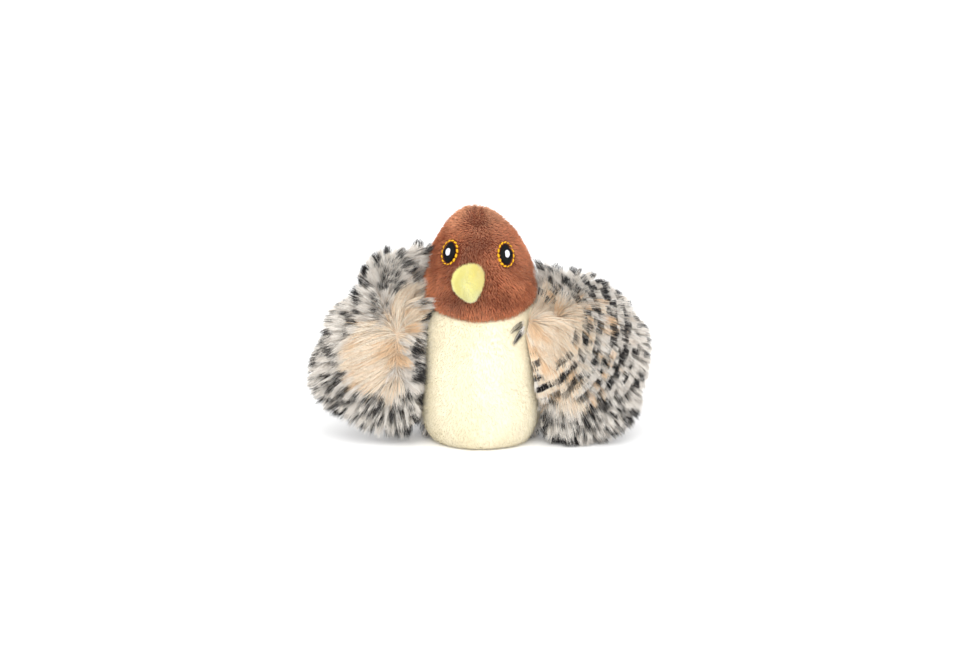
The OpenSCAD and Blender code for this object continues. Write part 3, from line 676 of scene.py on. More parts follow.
def relax(thing, pinned, cap, pressure=4.0):
    """Puffs a skin out with a cloth simulation between its pinned seams, and caps how far it moves."""
    before, _ = points_of(thing)
    group = thing.vertex_groups.new(name="seams")
    for index, weight in enumerate(pinned):
        group.add([index], float(weight), "REPLACE")
    cloth = thing.modifiers.new("puff", "CLOTH")
    cloth.settings.vertex_group_mass = "seams"
    cloth.settings.use_pressure = True
    cloth.settings.uniform_pressure_force = pressure
    cloth.settings.effector_weights.gravity = 0
    cloth.settings.tension_stiffness = 12
    cloth.settings.bending_stiffness = 0.4
    cloth.point_cache.frame_start, cloth.point_cache.frame_end = 1, 20
    for step in range(1, 21):
        bpy.context.scene.frame_set(step)
    apply_modifiers(thing)
    bpy.context.scene.frame_set(1)
    after, _ = points_of(thing)
    move = np.nan_to_num(after - before)
    far = np.linalg.norm(move, axis=1, keepdims=True)
    move *= np.minimum(1, cap / np.maximum(far, 1e-6))
    thing.data.vertices.foreach_set("co", ((before + move) * MM).ravel())
    thing.vertex_groups.clear()
    thing.data.update()


def thicken(thing, thickness, levels=1):
    """Gives a skin its fabric thickness inwards, and rounds it."""
    solid = thing.modifiers.new("fabric", "SOLIDIFY")
    solid.thickness, solid.offset = thickness * MM, -1
    if levels:
        rounding = thing.modifiers.new("round", "SUBSURF")
        rounding.levels = rounding.render_levels = levels
    apply_modifiers(thing)
    thing.data.shade_smooth()


def body_heights():
    low = [0.5, 0.9, 1.6, 2.8, 4.0]
    return np.array(low + list(np.linspace(5.5, NECK_Z - 2.2, 34)) + [NECK_Z - 1.1, NECK_Z - 0.3, NECK_Z + 0.5])


def body_skin_radius(z):
    """The body fabric's radius: rounded in at the base seam and tucked in under the head."""
    r = body_radius(z) - BODY_DEPTH
    tuck = np.clip((z - (NECK_Z - 2.6)) / 3.0, 0, 1)
    base = np.clip((11 - z) / 11, 0, 1)
    return r - 2.2 * tuck ** 2 - 5.6 * (1 - np.sqrt(1 - base ** 2))


def neck_lift(angle):
    """How much higher the neck seam is here than at the front."""
    return 6.5 * (1 - np.cos(np.radians(np.minimum(np.abs(angle), 90)))) - 0.8


def head_heights():
    t = np.sin(np.linspace(0, math.pi / 2, 44))
    upper = CHEEK_Z + (HEAD_TOP - HEAD_DEPTH - CHEEK_Z) * t
    lower = np.linspace(NECK_Z + 1.0, CHEEK_Z, 8, endpoint=False)
    return np.concatenate([[NECK_Z - 1.0, NECK_Z - 0.4, NECK_Z + 0.3], lower, upper])


def head_skin_radius(z):
    stretch = (HEAD_TOP - CHEEK_Z) / (HEAD_TOP - HEAD_DEPTH - CHEEK_Z)
    z_full = np.where(z > CHEEK_Z, CHEEK_Z + (z - CHEEK_Z) * stretch, z)
    tuck = np.clip((NECK_Z + 2.0 - z) / 3.0, 0, 1)
    return np.maximum(head_radius(z_full) - HEAD_DEPTH - 2.4 * tuck ** 2, 0.01)


def head_surface(angle, z, out=0.0):
    """A point on the head's fabric at an angle from the front, moved outwards from it."""
    angle, z = np.asarray(angle, float), np.asarray(z, float)
    here = lean(round_point(angle, head_skin_radius(z), z))
    ahead = lean(round_point(angle, head_skin_radius(z + 0.4), z + 0.4))
    aside = lean(round_point(angle + 0.5, head_skin_radius(z), z))
    normal = unit(np.cross(aside - here, ahead - here))
    return here + normal * out, normal


def front_angle(at):
    return np.degrees(np.arctan2(at[:, 0], -at[:, 1]))


def build_body(finishes):
    """The belly and back covers: one grid puffed as a whole, then split at the side seams."""
    columns = 120
    angles = np.arange(columns) * 360 / columns - 180
    heights = body_heights()
    whole = skin_of_revolution("body_form", angles, heights, body_skin_radius, True, finishes["cream_cloth"])
    at, _ = points_of(whole)
    angle = front_angle(at)
    at[:, 2] += neck_lift(angle) * np.clip((at[:, 2] - 40) / (NECK_Z - 40), 0, 1.1)
    whole.data.vertices.foreach_set("co", (at * MM).ravel())
    side_seam = np.exp(-((np.abs(angle) - 92) / 5) ** 2)
    bottom_seam = np.exp(-((angle - 0) / 2.2) ** 2) * np.clip((14 - at[:, 2]) / 10, 0, 1)
    rim = np.clip((at[:, 2] - neck_lift(angle) - NECK_Z + 2.4) / 1.5, 0, 1) + np.clip((3 - at[:, 2]) / 1.5, 0, 1)
    relax(whole, np.clip(rim + side_seam + bottom_seam, 0, 1), 1.3)
    at, normal = points_of(whole)
    crease_line = np.abs(at[:, 2] - (47 + 0.2 * (at[:, 0] - 4))) / 1.3
    crease = 0.45 * np.exp(-crease_line ** 2) * np.exp(-((angle - 14) / 26) ** 2)
    pucker = 0.35 * np.sin(at[:, 2] * 2.6) * np.exp(-(angle / 5) ** 2) * np.clip((13 - at[:, 2]) / 9, 0, 1)
    groove = 0.9 * bottom_seam + 0.6 * side_seam + crease + pucker
    wobble = waves(at, 11, 3)[:, 0] * 0.5
    at = at + normal * (wobble - groove)[:, None]
    whole.data.vertices.foreach_set("co", (at * MM).ravel())
    parts = {}
    for name, front in (("belly_cover", True), ("back_cover", False)):
        keep = []
        for polygon in whole.data.polygons:
            centre = at[list(polygon.vertices)].mean(0)
            facing = abs(math.degrees(math.atan2(centre[0], -centre[1]))) < 92
            if facing == front:
                keep.append(tuple(polygon.vertices))
        used = sorted({v for face in keep for v in face})
        index = {v: i for i, v in enumerate(used)}
        faces = [tuple(index[v] for v in face) for face in keep]
        material = finishes["cream_cloth"] if front else finishes["spotted_cloth"]
        parts[name] = new_object(name, at[used], faces, material)
    bpy.data.objects.remove(whole)
    return parts["belly_cover"], parts["back_cover"]


def build_head(finishes):
    columns = 120
    angles = np.arange(columns) * 360 / columns - 180
    heights = head_heights()
    head = skin_of_revolution("head_skin", angles, heights, head_skin_radius, True, finishes["brown_cloth"])
    bm = bmesh.new()
    bm.from_mesh(head.data)
    bmesh.ops.remove_doubles(bm, verts=bm.verts, dist=0.05 * MM)
    bm.to_mesh(head.data)
    bm.free()
    at, _ = points_of(head)
    low = np.clip((CHEEK_Z - at[:, 2]) / (CHEEK_Z - NECK_Z), 0, 1.2)
    at[:, 2] += low * neck_lift(front_angle(at))
    head.data.vertices.foreach_set("co", (lean(at) * MM).ravel())
    at, _ = points_of(head)
    angle = front_angle(at)
    rim = np.clip((NECK_Z + 1.0 + neck_lift(angle) - at[:, 2]) / 1.5, 0, 1)
    nape_seam = np.exp(-((180 - np.abs(angle)) / 4) ** 2)
    relax(head, np.clip(rim + nape_seam, 0, 1), 0.8)
    at, normal = points_of(head)
    top_notch = 0.35 * np.exp(-((at[:, 0] + HEAD_LEAN - 1.0) / 1.0) ** 2) * np.clip((at[:, 2] - 90) / 6, 0, 1)
    wobble = waves(at, 13, 5)[:, 0] * 0.5
    at = at + normal * (wobble - top_notch - 0.5 * nape_seam)[:, None]
    head.data.vertices.foreach_set("co", (at * MM).ravel())
    head.data.update()
    return head


def head_local(at):
    """For points near the head, the horizontal and vertical distance from each eye and from the beak."""
    angle = front_angle(at)
    places = [eye[:2] for eye in EYES.values()] + [(-12, 72.0)]
    return [(np.radians(angle - a) * head_radius(z), at[:, 2] - z) for a, z in places]


def head_pile(head, finishes):
    """Short pile over the head, none under the eyes and the beak."""
    at, normal = points_of(head)
    down = np.array([0, 0, -1.0])
    tangent = unit(down - normal * (normal @ down)[:, None])
    swirl = waves(at, 9, 2)
    comb = unit(normal * 0.95 + tangent * 0.6 + swirl * 0.6) * 2.0
    cover = np.ones(len(at))
    eyes = head_local(at)
    for side, height in eyes[:2]:
        cover *= ((side / 4.6) ** 2 + (height / 5.4) ** 2 > 1)
    side, height = eyes[2]
    cover *= ((side / 5.5) ** 2 + (height / 6.0) ** 2 > 1)
    cover *= at[:, 2] > NECK_Z - 0.6 + neck_lift(front_angle(at))
    pieces = []
    for name, part, fibres in (("head_pile_front", normal[:, 1] < 0, 13500), ("head_pile_back", normal[:, 1] >= 0, 11000)):
        pieces.append(grow(name, head, finishes["brown_pile"], comb, fibres, 0.27, 1.1, gather=0.3, droop=0.05,
                           frizz=0.25, points=3, seed=21, cover=cover * part))
    return pieces


# The beak's outline seen from the front, from its right side round over its top, [side, height]
BEAK_OUTLINE = [(4.9, -0.6), (4.7, 1.8), (3.7, 3.8), (1.6, 4.6), (-1.6, 4.0), (-4.9, 2.2), (-6.7, -1.0), (-6.3, -3.9),
                (-4.6, -6.3), (-2.0, -8.0), (0.2, -9.4), (1.5, -9.0), (3.0, -6.6), (4.4, -3.4)]


def build_beak(finishes):
    """A stuffed pad on the face: rings from its seam on the head to its front, whose tip hangs lowest."""
    rows, edge = 22, round_outline(BEAK_OUTLINE, 56)
    turn = math.radians(BEAK_TURN)
    at = []
    for i in range(rows):
        s = math.sin(math.pi / 2 * i / (rows - 1))
        size = (1 - s ** 2.6) ** 0.5
        side = edge[:, 0] * size * 0.98 - 1.9 + 0.9 * s
        rise = edge[:, 1] * size * 0.98 - 2.6 * s ** 2 + 72.4
        out = np.full(len(edge), 17.5 + 13.2 * s)
        at.append(np.stack([side * math.cos(turn) + out * math.sin(turn),
                            side * math.sin(turn) - out * math.cos(turn), rise], -1))
    turned = at[-1].mean(0)
    at[-1] = np.tile(turned, (len(edge), 1))
    beak = new_object("beak_skin", np.concatenate(at), grid_faces(rows, 56, True), finishes["yellow_cloth"])
    bm = bmesh.new()
    bm.from_mesh(beak.data)
    bmesh.ops.remove_doubles(bm, verts=bm.verts, dist=0.05 * MM)
    bmesh.ops.holes_fill(bm, edges=bm.edges)
    for _ in range(6):
        bmesh.ops.smooth_vert(bm, verts=bm.verts, factor=0.5, use_axis_x=True, use_axis_y=True, use_axis_z=True)
    bmesh.ops.recalc_face_normals(bm, faces=bm.faces)
    bm.to_mesh(beak.data)
    bm.free()
    at, normal = points_of(beak)
    comb = unit(normal + np.array([0.05, -0.1, -0.35]) + waves(at, 3, 4) * 0.25) * 1.3
    pile = grow("beak_pile", beak, finishes["yellow_pile"], comb, 6000, 0.24, 0.8, gather=0.2, jitter=0.35, droop=0.0,
                frizz=0.3, points=3, seed=31, cover=(at[:, 1] < -18.5).astype(float))
    return beak, pile


# ---------------------------------------------------------------- eyes
def on_eye(eye, side, height, out):
    """A point of an eye: side and height in its slanting plane, pressed onto the head."""
    turn, middle, slant = eye
    z = middle + height * 0.93
    angle = turn + math.degrees((side + slant * height) / float(head_skin_radius(np.array(z))))
    return head_surface(angle, z, out)


def build_eye(name, eye, finishes):
    """Satin-stitched pupil and highlight, and a ring of single gold stitches round them."""
    half_w, half_h = 2.85, 4.15
    lift = 1.25
    pupil, shine, ring = [], [], []
    for k in range(34):
        side = lerp(-half_w + 0.08, half_w - 0.08, k / 33)
        reach = half_h * (1 - (abs(side) / half_w) ** 1.7) ** 0.6
        dome = lift + 0.1 + 0.45 * (1 - (side / half_w) ** 2)
        low, normal = on_eye(eye, side, -reach, dome - 0.45)
        high, _ = on_eye(eye, side, reach, dome - 0.45)
        pupil.append((low, high, normal, 1))
    for k in range(9):
        side = lerp(-0.8, 0.8, k / 8)
        reach = 1.5 * math.sqrt(max(0, 1 - (side / 1.05) ** 2))
        low, normal = on_eye(eye, side, 0.1 - reach, lift + 0.78)
        high, _ = on_eye(eye, side, 0.1 + reach, lift + 0.78)
        shine.append((low, high, normal, 1))
    count = 15
    for k in range(count):
        a = 2 * math.pi * (k + 0.15) / count
        b = a + 2 * math.pi / count * 0.8
        ends = []
        for angle, swell in ((a, 0.16 + 0.1 * math.sin(7 * k)), (b, -0.16)):
            side = (half_w + 0.75 + swell) * math.cos(angle)
            height = (half_h + 0.6 + swell) * math.sin(angle)
            ends.append(on_eye(eye, side, height, lift))
        beak_side = math.cos(a) * (1 if eye[0] < 0 else -1)
        ring.append((ends[0][0], ends[1][0], ends[0][1], 0.8 + 0.7 * max(0, beak_side) + 0.15 * math.sin(5 * k)))
    return (sew(f"{name}_pupil", pupil, 0.34, 0.7, finishes["black_thread"]),
            sew(f"{name}_highlight", shine, 0.34, 0.22, finishes["white_thread"]),
            sew(f"{name}_ring", ring, 0.66, 0.2, finishes["gold_thread"]))


# ---------------------------------------------------------------- wings
LEFT_OUTLINE = [(-36, 76), (-43, 69.5), (-46.5, 60.5), (-53.5, 55), (-58, 47.5), (-61.5, 38.5), (-63.5, 30.5), (-62, 23.5),
                (-55.5, 18.5), (-47.5, 14.5), (-38, 11.5), (-30, 11.5), (-27, 18), (-26.3, 30), (-26.3, 44), (-29.5, 52),
                (-32.6, 60), (-35, 66.5)]
RIGHT_OUTLINE = [(36.5, 66.5), (45, 64.3), (51.8, 59.5), (57, 52.5), (61.5, 45.5), (61.7, 36), (60.5, 28), (60, 21),
                 (56.5, 14), (49, 9), (40, 5.5), (32, 6.5), (28, 12), (26.5, 22), (26.3, 34), (26.5, 45),
                 (29.8, 52.8), (33, 60)]


def pillow(name, knots, y, half, material):
    """A crowned pad with this outline in X and Z: rings from its middle to its edge, front and back."""
    edge = round_outline(knots, 96)
    middle = edge.mean(0)
    rings = 16
    at = [(middle[0], y - half, middle[1])]
    levels = [math.sin(math.pi / 2 * k / rings) for k in range(1, rings + 1)]
    for side in (-1, 1):
        for s in (levels if side < 0 else levels[-2::-1]):
            thick = half * (1 - s ** 3.2) ** 0.5
            at += [(*(lerp(middle, p, s)[:1]), y + side * thick, lerp(middle, p, s)[1]) for p in edge]
    at.append((middle[0], y + half, middle[1]))
    rows = 2 * rings - 1
    columns = len(edge)
    faces = [tuple(1 + v for v in face) for face in grid_faces(rows, columns, True)]
    faces += [(0, 1 + (j + 1) % columns, 1 + j) for j in range(columns)]
    last = 1 + (rows - 1) * columns
    faces += [(len(at) - 1, last + j, last + (j + 1) % columns) for j in range(columns)]
    thing = new_object(name, at, faces, material)
    bm = bmesh.new()
    bm.from_mesh(thing.data)
    bmesh.ops.recalc_face_normals(bm, faces=bm.faces)
    bm.to_mesh(thing.data)
    bm.free()
    return thing


def fan_field(at, normal, low, high, lift, length, fall, seed):
    """Fibres that fan out over the fabric from a line between two points, in millimetres."""
    low, high = np.array(low, float), np.array(high, float)
    run = high - low
    t = np.clip((at - low) @ run / (run @ run), 0, 1)
    away = at - (low + t[:, None] * run)
    away[:, 1] *= 0.4
    away = unit(away)
    away[:, 2] -= fall
    inner = smooth((at[:, 2] - 54) / 6) * smooth((42 - np.abs(at[:, 0])) / 8)
    away[:, 0] -= np.where(at[:, 0] < 0, -1.0, 0.5) * inner
    away[:, 2] += 0.8 * inner
    tangent = unit(away - normal * np.sum(away * normal, 1, keepdims=True))
    swirl = waves(at, 7, seed) * 0.4
    return unit(tangent * (1 - 0.25 * lift[:, None]) + normal * lift[:, None] + swirl) * length[:, None]


def warmth(side, at):
    """1 where a wing's fur is peach and 0 where it is grey and spotted."""
    edge = 0.28 * waves(at, 6, 14)[:, 0]
    if side == "left":
        low = np.hypot((at[:, 0] + 40.5) / 17.5, (at[:, 2] - 38) / 18)
        high = np.hypot((at[:, 0] + 31) / 9, (at[:, 2] - 54) / 14)
        dark_root = smooth((at[:, 0] + 27) / 2) * smooth((44 - at[:, 2]) / 4)
        return (1 - smooth((np.minimum(low, high) + edge - 0.8) / 0.35)) * (1 - dark_root)
    away = np.hypot(at[:, 0] - 18, at[:, 2] - 51) + 2 * np.clip(at[:, 2] - 58, 0, None)
    dark_root = smooth((25 - at[:, 0]) / 2) * smooth((36 - at[:, 2]) / 4)
    warm = np.maximum(1 - smooth((away / 24 + edge - 0.85) / 0.3), 0.45 * (1 - smooth((away - 32) / 16)))
    low_patch = np.hypot((at[:, 0] - 37) / 9, (at[:, 2] - 21) / 9) + edge
    warm = np.maximum(warm, 0.6 * (1 - smooth((low_patch - 0.6) / 0.5)))
    return warm * (1 - dark_root)


WING_FAN = {"left": ((-34, WING_Y - 6, 30), (-34, WING_Y - 6, 47)),
            "right": ((17, WING_Y - 8, 50), (19, WING_Y - 8, 52))}


def wing_fur(name, side, skin, finish, cover, fibres, seed, **changes):
    """Long spotted fur on a skin of this wing, flat over the peach part and standing up outside it."""
    at, normal = points_of(skin)
    low, high = WING_FAN[side]
    flat = fan_field(at, normal, low, high, np.full(len(at), 0.35), np.full(len(at), 10.0), 0.15, 4)
    warm = warmth(side, at + 0.8 * flat) * smooth((-normal[:, 1] + 0.5) / 0.5)
    length = lerp(9.0, 11.0, warm) + 3.0 * smooth((at[:, 2] - 50) / 8) * smooth((38 - np.abs(at[:, 0])) / 6)
    beside_belly = smooth((31 - np.abs(at[:, 0])) / 5) * smooth((56 - at[:, 2]) / 6)
    length = length * (1 - (0.6 if side == "left" else 0.35) * beside_belly)
    comb = fan_field(at, normal, low, high, lerp(0.85, 0.4, warm), length, 0.15, 4)
    rows = np.zeros(len(at)) if side == "left" else smooth((at[:, 2] - 20) / 14) * (normal[:, 1] < 0)
    shared = dict(width=0.21, spacing=2.2, gather=0.58, jitter=0.17, frizz=0.2, droop=0.12, points=4, rows=rows)
    shared.update(changes)
    return grow(name, skin, finish, comb, fibres, seed=seed, cover=cover, warm=warm, centre=low, **shared)


def build_wing(side, finishes):
    """One wing: its fabric pad, and fur in three pieces, for its front, its edge and its back."""
    knots = LEFT_OUTLINE if side == "left" else RIGHT_OUTLINE
    pad = pillow(f"{side}_wing_pad", knots, WING_Y, 5.2, finishes["spotted_cloth"])
    at, _ = points_of(pad)
    relax(pad, 1 - smooth((np.abs(at[:, 1] - WING_Y) - 0.5) / 2), 0.9)
    _, normal = points_of(pad)
    front, edge = smooth((-normal[:, 1] - 0.35) / 0.3), 1 - smooth((np.abs(normal[:, 1]) - 0.3) / 0.4)
    rear = smooth((normal[:, 1] - 0.35) / 0.3)
    fur = finishes["spotted_pile"]
    return pad, [wing_fur(f"{side}_wing_fur_front", side, pad, fur, front, 10800, 41),
                 wing_fur(f"{side}_wing_fur_edge", side, pad, fur, edge, 8800, 43),
                 wing_fur(f"{side}_wing_fur_back", side, pad, fur, rear, 6800, 47, points=3)]


def bridge(name, side, inner, outer, swell, finishes, fibres, seed, **changes):
    """Fabric between two edges, sewn to the body and to the wing, with fur over it. An edge is a list of points."""
    way = -1 if side == "left" else 1
    rows, columns = 16, 14
    inner, outer = np.array(inner, float), np.array(outer, float)
    at = []
    for i in range(rows):
        k = i / (rows - 1) * (len(inner) - 1)
        low = min(int(k), len(inner) - 2)
        a, b = lerp(inner[low], inner[low + 1], k - low), lerp(outer[low], outer[low + 1], k - low)
        for j in range(columns):
            s = j / (columns - 1)
            x, y, z = lerp(a, b, smooth(s) * 0.5 + s * 0.5) + np.array([0, -swell * math.sin(math.pi * s), 0])
            at.append((way * x, y, z))
    skin = new_object(name, at, grid_faces(rows, columns, False), finishes["spotted_cloth"])
    if way < 0:
        skin.data.flip_normals()
    fur = wing_fur(f"{name}_fur", side, skin, finishes["spotted_pile"], None, fibres, seed, **changes)
    thicken(skin, 1.0, 0)
    return [skin, fur]


def build_bridges(side, finishes):
    """The wing's root in front and behind, from the body's side, and its crown, which fills in beside the head."""
    if side == "left":
        root = [(24.2, -5.5, 24), (24.2, -5.5, 36), (23.2, -6.0, 48), (22.6, -6.5, 60)]
        crown = [(23.0, -2, 52), (24.4, 0, 60), (24.8, 3, 68), (21.0, 4, 78)]
        rim = [(33, -5, 52), (34, -5, 60), (35, -5, 68), (35.5, -5, 77.5)]
    else:
        root = [(22.8, -12.5, 24), (20.4, -15.0, 36), (18.2, -14.4, 47), (19.8, -12.0, 54)]
        crown = [(20.5, -5, 50), (21.0, -3, 56), (24.0, 0, 61), (25.5, 1, 68)]
        rim = [(31, -6, 50), (34, -6, 57), (36, -6, 62), (38, -6, 66)]
    outer = [(31, WING_Y - 4.5, z) for _, _, z in root]
    behind = [(24.6, 4, 22), (24.8, 4, 34), (23.2, 4, 46), (21.5, 4, 58)]
    rim_behind, crown_behind = [(x, y + 5, z - 2) for x, y, z in rim], [(x, y + 1.4, z) for x, y, z in crown]
    outer_behind = [(32, WING_Y + 4.5, z) for _, _, z in behind]
    return [bridge(f"{side}_shoulder", side, root, outer, 1.2, finishes, 4200, 53),
            bridge(f"{side}_crown", side, crown, rim, 1.0, finishes, 2400, 57),
            bridge(f"{side}_shoulder_back", side, outer_behind, behind, -1.2, finishes, 2400, 59, points=3),
            bridge(f"{side}_crown_back", side, rim_behind, crown_behind, -1.0, finishes, 1700, 67, points=3)]


def build_back_fur(back, finishes):
    """Fur over the back, lying outwards and down, shorter at the sides and towards the bottom, and none above the neck
    seam.
    """
    at, normal = points_of(back)
    down = np.array([0, 0, -1.0])
    tangent = unit(down - normal * (normal @ down)[:, None])
    comb = unit(normal * 0.6 + tangent * 0.8 + waves(at, 8, 9) * 0.4)
    angle = np.abs(front_angle(at))
    length = lerp(6.5, 9.5, smooth((angle - 92) / 40)) * (1 - 0.35 * smooth((8 - at[:, 2]) / 8))
    cover = (at[:, 2] < NECK_Z + 1.5 + neck_lift(front_angle(at))).astype(float)
    return grow("back_fur", back, finishes["spotted_pile"], comb * length[:, None], 8600, 0.25, 2.2, gather=0.55,
                jitter=0.2, droop=0.12, frizz=0.2, points=3, seed=51, cover=cover, centre=(0, 15, 56))


def belly_pile(belly, finishes):
    at, normal = points_of(belly)
    comb = unit(normal * 0.8 + np.array([0, 0, -0.6]) + waves(at, 8, 12) * 0.6) * 1.0
    seam = np.exp(-(front_angle(at) / 1.8) ** 2) * smooth((14 - at[:, 2]) / 5)
    return grow("belly_pile", belly, finishes["cream_pile"], comb, 7500, 0.24, 1.0, gather=0.3, droop=0.0,
                frizz=0.3, points=3, seed=61, cover=1 - seam)


def stray_tufts(finishes):
    """A few tufts from the root of the left wing that lie over the belly."""
    skin = new_object("stray_root", np.concatenate([round_point(np.linspace(48, 53, 5), body_radius(z), z)
                                                    for z in np.linspace(48, 53, 5)]), grid_faces(5, 5, False))
    at, _ = points_of(skin)
    comb = unit(np.array([-0.63, -0.77, -0.3]) + waves(at, 5, 8) * [0.3, 0.1, 0.9]) * 8.5
    tufts = grow("stray_tufts", skin, finishes["spotted_pile"], comb, 45, 0.19, 2.2, gather=0.55, jitter=0.2, droop=0.1,
                 frizz=0.2, points=4, seed=73, warm=np.full(len(at), -0.9))
    bpy.data.objects.remove(skin)
    return tufts


# ---------------------------------------------------------------- base
def hem(name, low, high, z, down, step, finish):
    """Blanket stitches round a rectangle's edge, in millimetres."""
    corners = [(low[0], low[1]), (high[0], low[1]), (high[0], high[1]), (low[0], high[1])]
    stitches = []
    for k in range(4):
        a, b = np.array(corners[k]), np.array(corners[(k + 1) % 4])
        count = round(np.linalg.norm(b - a) / step)
        for i in range(count):
            start, end = lerp(a, b, (i + 0.15) / count), lerp(a, b, (i + 0.85) / count)
            stitches.append(((*start, z), (*end, z), (0, 0, down), 1))
    return sew(name, stitches, 0.3, 0.12, finish)


def build_base(finishes):
    """The round base panel with its square opening, and the hem stitched round the opening."""
    low, high = FLAP_LOW[:2] - 0.3, np.array([FLAP_HIGH[0] + 0.3, FLAP_HIGH[1] + 0.5])
    rings, count = 9, 96
    outer = body_skin_radius(np.array(0.6))
    at = []
    for i in range(rings):
        s = i / (rings - 1)
        for j in range(count):
            a = 2 * math.pi * j / count
            ray = np.array([math.cos(a), math.sin(a)])
            edge = min((high[k] if ray[k] > 0 else low[k]) / ray[k] for k in range(2) if abs(ray[k]) > 1e-9)
            reach = lerp(edge, float(outer), s)
            at.append((*(ray * reach), 0.1 + 0.3 * s ** 4))
    panel = new_object("base_cloth", at, grid_faces(rings, count, True), finishes["cream_cloth"])
    thicken(panel, 0.8, 1)
    stitches = hem("base_hem", low - 0.9, high + 0.9, 0.3, -1, 1.6, finishes["white_thread"])
    return panel, stitches


def rounded_slab(name, low, high, radius, material):
    """A closed slab with all its edges rounded."""
    bm = bmesh.new()
    bmesh.ops.create_cube(bm, size=1)
    for v in bm.verts:
        v.co = Vector([lerp(low[k], high[k], v.co[k] + 0.5) * MM for k in range(3)])
    bmesh.ops.bevel(bm, geom=bm.edges, offset=radius * MM, segments=3, affect="EDGES", profile=0.6)
    mesh = bpy.data.meshes.new(name)
    bm.to_mesh(mesh)
    bm.free()
    mesh.shade_smooth()
    thing = bpy.data.objects.new(name, mesh)
    bpy.context.scene.collection.objects.link(thing)
    mesh.materials.append(material)
    return thing


def bristles(name, low, high, lift, length, finish, seed):
    """Rows of small upright bristles, or of napped loops, over a tape's face."""
    x, y = np.linspace(low[0] + 0.3, high[0] - 0.3, 24), np.linspace(low[1] + 0.3, high[1] - 0.3, 8)
    at = np.array([(a, b, low[2]) for b in y for a in x])
    patch = new_object(f"{name}_patch", at, grid_faces(len(y), len(x), False), finish)
    comb = np.tile([0.15, 0.0, lift * length], (len(at), 1))
    grown = grow(name, patch, finish, comb, 450, 0.2, 0.8, gather=0.3, droop=0, frizz=0.5, points=4, seed=seed)
    bpy.data.objects.remove(patch)
    return grown


def build_flap(finishes):
    """The closure flap of the base, its hem and its hook tape, and the loop tape inside the base."""
    flap = rounded_slab("flap_cloth", FLAP_LOW, FLAP_HIGH, 0.5, finishes["cream_cloth"])
    stitches = hem("flap_hem", FLAP_LOW[:2] + 0.9, FLAP_HIGH[:2] - 0.9, FLAP_LOW[2], -1, 1.6,
                   finishes["white_thread"])
    tapes = []
    for node, name, finish, up, length in (("hook_strip", "hook", "hook", 1, 0.45), ("loop_strip", "loop", "loop", -1, 0.3)):
        low, high = box_mm(node)
        if up < 0:
            low[2] = high[2] - 0.6
        tape_slab = rounded_slab(f"{name}_tape", low, [high[0], high[1], high[2] - 0.1], 0.12, finishes[finish])
        face = np.array([low[0], low[1], high[2] - 0.15 if up > 0 else low[2]])
        nap = bristles(f"{name}_nap", face, high, up, length, finishes[finish], 71)
        tapes.append((node, tape_slab, nap))
    return flap, stitches, tapes


# ---------------------------------------------------------------- the scene
def finish_set():
    made = {
        "brown_pile": brown_pile(), "brown_cloth": brown_cloth(),
        "cream_pile": cream_pile(), "cream_cloth": cream_cloth(),
        "yellow_pile": yellow_pile(), "yellow_cloth": yellow_cloth(),
        "spotted_pile": spotted_pile(), "spotted_cloth": spotted_cloth(),
        "black_thread": thread("black_thread", srgb(6, 6, 8), srgb(22, 22, 26), 0.5),
        "white_thread": thread("white_thread", srgb(206, 204, 218), srgb(232, 230, 240)),
        "gold_thread": thread("gold_thread", srgb(206, 138, 10), srgb(246, 192, 40)),
    }
    made["steel"] = brushed_metal("steel", srgb(150, 152, 156), srgb(206, 208, 210))
    made["brass"] = brushed_metal("brass", srgb(180, 140, 70), srgb(226, 190, 110))
    made["foil"] = brushed_metal("foil", srgb(176, 178, 182), srgb(222, 224, 226), 0.4, (1, 1, 6))
    made["fill"] = fibre_fill()
    made["housing"] = moulded("housing_plastic", srgb(200, 200, 196), srgb(220, 220, 216))
    made["drive"] = moulded("drive_plastic", srgb(226, 225, 216), srgb(240, 240, 233), 0.38)
    made["blade"] = moulded("blade_plastic", srgb(214, 218, 222), srgb(232, 235, 238), 0.3)
    made["cap"] = moulded("cap_plastic", srgb(222, 216, 196), srgb(238, 232, 212))
    made["foam"] = moulded("foam", srgb(26, 26, 28), srgb(48, 48, 50), 0.9, 900, 0.0004)
    made["resin"] = moulded("resin", srgb(10, 10, 10), srgb(24, 24, 24), 0.2, coat=0.5)
    made["switch"] = moulded("switch_plastic", srgb(18, 18, 20), srgb(38, 38, 42))
    made["paper"] = moulded("speaker_paper", srgb(24, 24, 24), srgb(46, 46, 46), 0.7, 700, 0.0001)
    made["sleeve"] = moulded("lead_sleeve", srgb(150, 20, 18), srgb(196, 34, 28), 0.4)
    made["board"] = board_mask()
    made["hook"] = tape("hook_tape", srgb(18, 18, 20), srgb(70, 70, 74), 1400)
    made["loop"] = tape("loop_tape", srgb(30, 30, 32), srgb(84, 84, 88), 2600)
    return made


# Which finish each material slot of the CAD nodes gets
SLOT_FINISH = {
    "cream_plush": "cream_cloth", "spotted_fur": "spotted_cloth", "brown_plush": "brown_cloth",
    "yellow_plush": "yellow_cloth", "polyester_fill": "fill", "black_thread": "black_thread",
    "gold_thread": "gold_thread", "white_thread": "white_thread", "hook_tape": "hook", "loop_tape": "loop",
    "housing_plastic": "housing", "drive_plastic": "drive", "blade_plastic": "blade", "steel": "steel",
    "brass": "brass", "motor_cap_plastic": "cap", "cell_foil": "foil", "foam": "foam", "board": "board",
    "black_resin": "resin", "switch_plastic": "switch", "sensor_can": "brass", "speaker_paper": "paper",
    "lead_sleeve": "sleeve",
}


def dress_cad_nodes(finishes):
    """Gives every CAD node the finish of its slot."""
    slots = {row["node"]: row["material_slot"] for row in frame["record"]["subparts"]}
    for name, thing in frame["nodes"].items():
        for slot in thing.material_slots:
            slot.material = finishes[SLOT_FINISH[slots[name]]]


def ride_all(pieces, body, slot):
    for piece in pieces:
        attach(piece, body)


